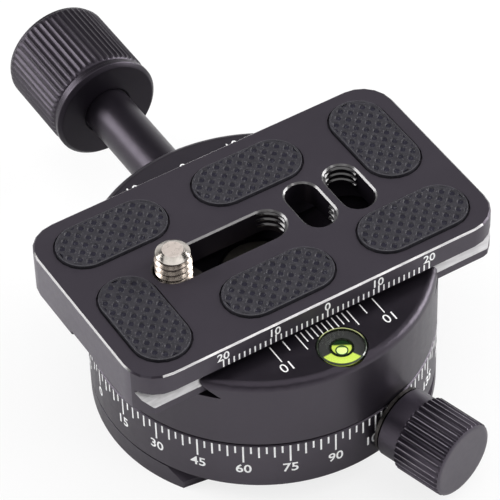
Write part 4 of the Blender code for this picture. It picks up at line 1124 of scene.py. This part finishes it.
@dataclass
class Plate:
    """The quick release plate."""

    top: float = 34.9
    middle: float = 0.7
    long_slot: Pair = (-20.1, 4.9)
    long_slot_width: float = 6.7
    short_slots: Pair = (10.2, 18.0)
    short_slot_width: float = 6.0
    short_slot_length: float = 11.2
    slot_chamfer: float = 0.30
    edge: float = 0.17
    least_corner: float = 1.2
    chamfer_low: float = 34.2
    slant: Pair = (0.2, 0.97)
    straight: float = 0.98
    upright: float = 0.1
    square: float = 0.9
    rim: Pair = (34.0, 19.0)
    flank: Pair = (27.5, 30.3)
    flank_side: float = 16.0
    thread_pitch: float = 1.27
    thread_top: float = 0.42
    thread_rows: int = 3
    ridge: Profile = ((0.40, 0.06), (1.0, 0.20), (0.95, 0.34), (0.0, 0.62))
    root: float = 0.3
    long_thread: float = 0.34
    short_thread: float = 0.40
    run_out: float = 30.0
    sweep_step: float = 6.0
    least_ridge: float = 0.3

    def in_slot(self, place: Vector, margin: float = 0.05) -> bool:
        """Returns whether a point of the top lies at the rim of a slot.

        Args:
            place: The point.
            margin: How far off the slot it may lie.

        Returns:
            Whether it does.
        """
        start, end = self.long_slot
        if abs(place.y) < self.long_slot_width / 2 + margin and start - margin < place.x < end + margin:
            return True
        half = self.short_slot_width / 2 + margin
        near = any(abs(place.x - centre) < half for centre in self.short_slots)
        return near and abs(place.y) < self.short_slot_length / 2 + margin

    def at_rim(self, edge: bmesh.types.BMEdge, inside: bool) -> bool:
        """Returns whether an edge of the deck's top goes round a slot, or round the plate.

        Args:
            edge: The edge.
            inside: Whether a slot's rim is meant.

        Returns:
            Whether it is such an edge.
        """
        at_top = all(abs(vert.co.z - self.top) < NEAR for vert in edge.verts)
        in_slot = all(self.in_slot(vert.co) for vert in edge.verts)
        return at_top and edge.calc_face_angle(0.0) > self.least_corner and in_slot == inside

    def thread_end(
        self,
        work: Work,
        centre: Pair,
        radius: float,
        depth: float,
        facing: float,
        sweep: float,
        fades: bool = False,
    ) -> None:
        """Adds a thread's ridges on the round end of a slot.

        Args:
            work: The threads under construction.
            centre: The round end's centre.
            radius: Its radius.
            depth: How far the ridges stand out of the wall.
            facing: The way its wall lies from the centre, in degrees.
            sweep: How far round they go, in degrees.
            fades: Whether they run out into the wall at both ends.
        """
        wall, pitch = radius + PROUD, self.thread_pitch
        top = self.top - self.thread_top
        outline = [(radius + self.root, top), (wall, top)]
        for row in range(self.thread_rows):
            low = top - row * pitch
            outline += [(wall - reach * (depth + PROUD), low - drop * pitch) for reach, drop in self.ridge]
            outline.append((wall, low - pitch))
        outline.append((radius + self.root, top - self.thread_rows * pitch))
        before = set(work.bm.verts)
        start = turn_z(-sweep / 2)
        verts, edges = work.chain([start @ Vector((reach, 0.0, height)) for reach, height in outline])
        end = bmesh.ops.contextual_create(work.bm, geom=edges)["faces"]
        work.spin(verts + edges + end, math.radians(sweep), round(sweep / self.sweep_step))
        made = [vert for vert in work.bm.verts if vert not in before]
        for vert in made:
            reach = vert.co.xy.length
            turn = math.degrees(math.atan2(vert.co.y, vert.co.x))
            share = min(1.0, max(self.least_ridge, (sweep / 2 - abs(turn)) / self.run_out))
            if fades and reach < radius:
                vert.co.xy *= (radius - (radius - reach) * share) / reach
        work.move(shift(*centre, 0.0) @ turn_z(facing), made)

    def threads(self) -> None:
        """Builds the threads in the slots' round ends."""
        work = Work("slot_threads", Body.CAMERA_PLATE)
        wide, narrow = self.long_slot_width / 2, self.short_slot_width / 2
        near, far = self.short_slots
        end = self.short_slot_length / 2 - narrow
        self.thread_end(work, (self.long_slot[1] - wide, 0.0), wide, self.long_thread, 0.0, 180.0, True)
        self.thread_end(work, (near, -end), narrow, self.short_thread, -80.0, 200.0)
        self.thread_end(work, (far, end), narrow, self.short_thread, 88.0, 192.0)
        work.finish(Look.THREAD)

    def sort(self, face: bmesh.types.BMFace) -> PlateFace:
        """Returns the finish that a face takes.

        Args:
            face: The face.

        Returns:
            Its kind.
        """
        middle, normal = face.calc_center_median(), face.normal
        slant = self.slant[0] < normal.z < self.slant[1]
        outer = abs(middle.y) > self.rim[1] or abs(middle.x - self.middle) > self.rim[0]
        # Outer chamfers take a coat by the way they face: those along Y the bright cut edge and those along X
        # the broken edge, both partly painted highlight, and the rest the darker anodised as painted shade.
        if slant and middle.z > self.chamfer_low and outer:
            side = normal.xy.normalized()
            if abs(side.y) > self.straight:
                return PlateFace.CUT_EDGE_HIGHLIGHT
            return PlateFace.SOFT_EDGE_HIGHLIGHT if abs(side.x) > self.straight else PlateFace.SHADED
        # Slot rims take the broken edge coat, partly painted highlight.
        if slant and middle.z > self.chamfer_low and self.in_slot(middle, self.slot_chamfer):
            return PlateFace.SOFT_EDGE_HIGHLIGHT
        if slant and self.flank[0] < middle.z < self.flank[1] and abs(middle.y) > self.flank_side:
            return PlateFace.SAWN
        # Slot walls take the darker anodised: painted shade.
        if abs(normal.z) < self.upright and self.in_slot(middle):
            return PlateFace.SHADED
        # End faces take the lighter coat: painted light.
        return PlateFace.END if abs(normal.x) > self.square else PlateFace.DECK

    def build(self) -> None:
        """Builds the plate's body and its threads."""
        work = Work.from_node("plate", "plate_body", Body.CAMERA_PLATE)
        work.bevel(lambda edge: self.at_rim(edge, True), self.slot_chamfer, 1, False)
        work.bevel(lambda edge: self.at_rim(edge, False), self.edge)
        for face in work.bm.faces:
            face.material_index = self.sort(face)
        work.finish(Look.DECK, Look.CUT_EDGE_HIGHLIGHT, Look.SAWN, Look.SOFT_EDGE_HIGHLIGHT, Look.ANODISED, Look.PLATE_END_LIT)
        self.threads()


@dataclass
class PlateScale:
    """The millimetre scale on the plate's front side."""

    side: float = -20.0
    zero: float = 0.68
    low: float = 30.85
    short: float = 1.35
    long: float = 1.75
    reach: int = 20
    figure_step: int = 10
    line_width: float = 0.28
    figure_height: float = 1.75
    figure_base: float = 32.45
    weight: float = 0.015

    def build(self) -> None:
        """Builds the lines and figures."""
        work = Work("plate_scale", Body.CAMERA_PLATE)
        upright = Matrix.Rotation(QUARTER, 4, "X")
        for mark in range(-self.reach, self.reach + 1):
            length = self.short if mark % self.figure_step else self.long
            place = shift(self.zero + mark, self.side, self.low + length / 2)
            work.box((self.line_width, 2 * PROUD, length), place)
        for mark in range(-self.reach, self.reach + 1, self.figure_step):
            verts = work.letters(str(abs(mark)), self.figure_height, self.weight)
            work.move(shift(self.zero + mark, self.side, self.figure_base) @ upright, verts)
        work.finish(Look.PRINT)


@dataclass
class Pads:
    """The six rubber pads in the deck, each with a net of pits."""

    length: float = 20.2
    width: float = 9.9
    low: float = 34.22
    high: float = 35.28
    edge: float = 0.12
    rim: float = 0.02
    sink: float = 0.02
    sink_slope: float = 0.04
    net: float = 2.49
    pit_wall: float = 0.26
    pit_corner: float = 24.0
    pit_slope: float = 0.17
    pit_depth: float = 0.17
    cells: tuple[Triple, ...] = ((0.60, 2.0, 1.0), (0.22, 0.60, 0.55))
    corner_steps: int = 44
    places: dict[str, tuple[float, float, bool]] = field(
        default_factory=lambda: {
            "pad_end_1": (-21.2, 12.3, False),
            "pad_end_2": (22.6, -12.3, False),
            "pad_middle_1": (5.3, 12.2, False),
            "pad_middle_2": (-3.9, -12.2, False),
            "pad_cross_1": (-26.4, -7.2, True),
            "pad_cross_2": (27.8, 7.2, True),
        }
    )

    @property
    def rise(self) -> float:
        """Returns the pad's height."""
        return self.high - self.low

    def block(self, work: Work) -> bmesh.types.BMFace:
        """Adds the pad's block with its rounded edge.

        Args:
            work: The pad under construction.

        Returns:
            The sunk face on its top.
        """
        turn = turn_z(180.0 / self.corner_steps)
        bmesh.ops.create_circle(
            work.bm, cap_ends=True, segments=self.corner_steps, radius=self.width / 2, matrix=turn
        )
        for vert in work.bm.verts:
            vert.co.x += math.copysign((self.length - self.width) / 2, vert.co.x)
        made = bmesh.ops.extrude_face_region(work.bm, geom=work.bm.faces[:])["geom"]
        grown = [part for part in made if isinstance(part, bmesh.types.BMVert)]
        bmesh.ops.translate(work.bm, verts=grown, vec=(0.0, 0.0, self.rise))
        # The rounded top edge takes the lighter rubber: painted highlight.
        for face in work.bevel(
            lambda edge: all(abs(vert.co.z - self.rise) < NEAR for vert in edge.verts), self.edge
        ):
            face.material_index = 2
        top = max(work.bm.faces, key=lambda face: face.calc_center_median().z + 0.001 * face.calc_area())
        for thickness, depth in ((self.rim, 0.0), (self.sink_slope, -self.sink)):
            bmesh.ops.inset_region(
                work.bm, faces=[top], thickness=thickness, depth=depth, use_even_offset=True
            )
        return top

    def sunk(self, work: Work) -> list[bmesh.types.BMFace]:
        """Returns the faces of the sunk field."""
        low = self.rise - self.sink
        return [face for face in work.bm.faces if abs(face.calc_center_median().z - low) < NET_TOLERANCE]

    def cut_net(self, work: Work, top: bmesh.types.BMFace) -> list[bmesh.types.BMFace]:
        """Cuts the sunk face into cells along both diagonals.

        Args:
            work: The pad under construction.
            top: The sunk face.

        Returns:
            The cells.
        """
        cells = [top]
        reach = int(self.length / self.net) + 2
        for slope in (1.0, -1.0):
            across = Vector((1.0, slope, 0.0)).normalized()
            for number in range(-reach, reach):
                parts = set(cells)
                for face in cells:
                    parts.update(face.edges)
                    parts.update(face.verts)
                bmesh.ops.bisect_plane(
                    work.bm,
                    geom=list(parts),
                    dist=CUT_TOLERANCE,
                    plane_co=((number + 0.5) * self.net, 0.0, self.rise),
                    plane_no=across,
                )
                cells = self.sunk(work)
        return cells

    def pad(self, node: str) -> None:
        """Builds one pad.

        Args:
            node: The CAD node it stands for.
        """
        work = Work(f"{node}_netted", Body.CAMERA_PLATE, Slot.RUBBER, node, True)
        pits = work.bm.faces.layers.int.new("pit")
        net = self.cut_net(work, self.block(work))
        full = self.net**2 / 2
        for mark, (least, most, scale) in enumerate(self.cells, 1):
            cells = [face for face in net if least * full < face.calc_area() <= most * full]
            work.inset(cells, self.pit_wall * scale)
            for face in cells:
                face[pits] = mark
            bmesh.ops.bevel(
                work.bm,
                geom=list({vert for face in cells for vert in face.verts}),
                offset=self.pit_corner,
                offset_type="PERCENT",
                affect="VERTICES",
                segments=1,
                profile=0.5,
                material=-1,
                clamp_overlap=False,
            )
            cells = [face for face in work.bm.faces if face[pits] == mark and len(face.verts) > 4]
            work.inset(cells, self.pit_slope * scale, -self.pit_depth * scale)
            # The pits' floors take the darker rubber: painted shade.
            for face in cells:
                face.material_index = 1
            net = [face for face in self.sunk(work) if not face[pits]]
        x, y, across_plate = self.places[node]
        work.move(shift(x, y, self.low) @ turn_z(90.0 if across_plate else 0.0))
        work.finish(Look.RUBBER, Look.RUBBER_PIT_SHADE, Look.RUBBER_EDGE_LIT)

    def build(self) -> None:
        """Builds all the pads."""
        for node in self.places:
            self.pad(node)


@dataclass
class CameraScrew:
    """The camera screw, its stud's profile given as (radius, height)."""

    place: Pair = (-16.55, 0.0)
    stud: Profile = (
        (0.0, 39.27), (1.0, 39.28), (1.68, 39.3), (1.8, 39.26), (2.94, 38.56), (2.96, 38.38),
        (2.72, 38.2), (2.72, 28.8), (0.0, 28.8),
    )
    head_cut: float = 29.3
    core: float = 2.72
    thread_depth: float = 0.45
    pitch: float = 1.27
    thread_start: float = 29.7
    turns: float = 5.871654
    end_low: float = 39.27
    cone_low: float = 38.4
    cone_slope: float = 0.6
    steps: int = 48
    thread_steps: int = 40

    def build(self) -> None:
        """Builds the head and stud."""
        head = Work.from_node("camera_screw", "camera_screw_head", Body.CAMERA_SCREW, Slot.STEEL)
        cut = bmesh.ops.bisect_plane(
            head.bm,
            geom=head.everything(),
            plane_co=(0.0, 0.0, self.head_cut),
            plane_no=(0.0, 0.0, 1.0),
            clear_outer=True,
        )["geom_cut"]
        bmesh.ops.holes_fill(head.bm, edges=[part for part in cut if isinstance(part, bmesh.types.BMEdge)])
        head.finish(Look.STEEL)
        stud = Work("camera_screw_stud", Body.CAMERA_SCREW, Slot.STEEL)
        stud.turned(self.stud, self.steps)
        stud.thread(
            self.core, self.thread_depth, self.pitch, self.thread_start, self.turns, self.thread_steps
        )
        stud.move(shift(*self.place, 0.0))
        for face in stud.bm.faces:
            height = face.calc_center_median().z
            if height > self.end_low:
                face.material_index = 1
            elif face.normal.z > self.cone_slope and height > self.cone_low:
                face.material_index = 2
        stud.finish(Look.ROLLED, Look.TURNED_END, Look.STEEL)
        paint(Look.DARK_STEEL, "screw_washer")


# ---------------------------------------------------------------- studio


def way_to(azimuth: float, elevation: float) -> Vector:
    """Returns the way from the head to a place round it, 0 on the side of -Y.

    Args:
        azimuth: Its turn round the head in degrees.
        elevation: Its height above the horizon in degrees.

    Returns:
        The way, of length 1.
    """
    turn, tilt = math.radians(azimuth), math.radians(elevation)
    return Vector((math.sin(turn) * math.cos(tilt), -math.cos(turn) * math.cos(tilt), math.sin(tilt)))


@dataclass(frozen=True)
class Lamp:
    """A soft square lamp that faces the head, in degrees round it, watts and metres."""

    name: str
    azimuth: float
    elevation: float
    power: float
    size: float
    distance: float = 0.7
    rise: float = 0.02

    def build(self) -> None:
        """Adds the lamp to the scene."""
        away = way_to(self.azimuth, self.elevation)
        data = bpy.data.lights.new(self.name, "AREA")
        data.energy, data.size = self.power, self.size
        lamp = bpy.data.objects.new(self.name, data)
        lamp.location = away * self.distance + Vector((0.0, 0.0, self.rise))
        lamp.rotation_euler = away.to_track_quat("Z", "Y").to_euler()
        bpy.context.scene.collection.objects.link(lamp)


@dataclass
class Studio:
    """The floor, lamps, world and camera."""

    azimuth: float = -30.515
    elevation: float = 45.995
    roll: float = -2.007
    distance: float = 554.93
    lens: float = 230.8
    sensor: float = 36.0
    clip: Pair = (0.01, 50.0)
    target: Triple = (4.973, 11.58, 16.81)
    floor_size: float = 6.0
    floor_low: float = -0.05
    floor_colour: Colour = (0.90, 0.90, 0.90)
    floor_white: float = 0.8
    world_light: float = 0.30
    ceiling: float = 0.05
    wall_top: float = 0.20
    ceiling_start: float = 0.62
    lamps: tuple[Lamp, ...] = (
        Lamp("left softbox", -132.0, 27.0, 3.3, 0.38),
        Lamp("right softbox", 78.0, 22.0, 4.8, 0.42),
        Lamp("front softbox", 26.0, 37.0, 0.26, 0.15),
        Lamp("top softbox", -20.0, 82.0, 3.4, 0.95),
    )

    def camera(self) -> None:
        """Places the camera as the photograph was taken."""
        back = way_to(self.azimuth, self.elevation)
        turn = math.radians(self.azimuth)
        right = Vector((math.cos(turn), math.sin(turn), 0.0))
        level = Matrix((right, back.cross(right), back)).transposed()
        turned = level @ Matrix.Rotation(math.radians(self.roll), 3, "Z")
        data = bpy.data.cameras.new("camera")
        data.lens, data.sensor_width = self.lens, self.sensor
        data.clip_start, data.clip_end = self.clip
        camera = bpy.data.objects.new("camera", data)
        bpy.context.scene.collection.objects.link(camera)
        place = (Vector(self.target) + back * self.distance) * METRE
        camera.matrix_world = Matrix.Translation(place) @ turned.to_4x4()
        bpy.context.scene.camera = camera

    def floor(self) -> None:
        """Builds the plain pale floor."""
        work = bmesh.new()
        bmesh.ops.create_grid(work, x_segments=1, y_segments=1, size=self.floor_size / 2)
        mesh = bpy.data.meshes.new("floor")
        work.to_mesh(mesh)
        work.free()
        floor = bpy.data.objects.new("floor", mesh)
        bpy.context.scene.collection.objects.link(floor)
        floor.location.z = self.floor_low * METRE
        shader = Shader("pale floor")
        shader.coat(Base_Color=(*self.floor_colour, 1.0), Roughness=0.9, Specular_IOR_Level=0.0)
        seen = shader.add("LightPath").outputs["Is Camera Ray"]
        share = shader.add("Math", seen, self.floor_white, operation="MULTIPLY").outputs["Value"]
        glow = shader.add("Emission").outputs["Emission"]
        shader.show(shader.add("MixShader", share, shader.body.outputs["BSDF"], glow))
        mesh.materials.append(shader.material)

    def world(self) -> None:
        """Lights the world plainly and shows it white behind the head."""
        world = bpy.data.worlds.new("white room")
        bpy.context.scene.world = world
        nodes = Nodes(world)
        path = nodes.add("LightPath").outputs
        seen = nodes.add("Math", path["Is Camera Ray"], path["Is Transmission Ray"], operation="MAXIMUM")
        rise = nodes.add("SeparateXYZ", nodes.add("TexCoord").outputs["Generated"]).outputs["Z"]
        room = nodes.spread(rise, 1.0, self.ceiling, self.wall_top, self.ceiling_start)
        mirrored = nodes.spread(path["Is Glossy Ray"], self.world_light, room, 0.0, 1.0)
        strength = nodes.spread(seen.outputs["Value"], mirrored, 1.0, 0.0, 1.0)
        background = nodes.tree.nodes["Background"]
        nodes.put_named(background, Color=(1.0, 1.0, 1.0, 1.0), Strength=strength)

    def build(self) -> None:
        """Sets the whole studio."""
        self.camera()
        self.floor()
        self.world()
        for lamp in self.lamps:
            lamp.build()
        bpy.context.scene.view_settings.view_transform = "Standard"


def main() -> None:
    """Builds the studio and every sub-assembly."""
    logging.basicConfig(level=logging.INFO, format="%(message)s")
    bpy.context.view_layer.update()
    Studio().build()
    head = Base, DialScale, Clamp, JawScale, Level, ClampKnob, PanLock, Plate, PlateScale, Pads, CameraScrew
    for kind in head:
        kind().build()
        log.info("built %s", kind.__name__)


if __name__ == "__main__":
    main()
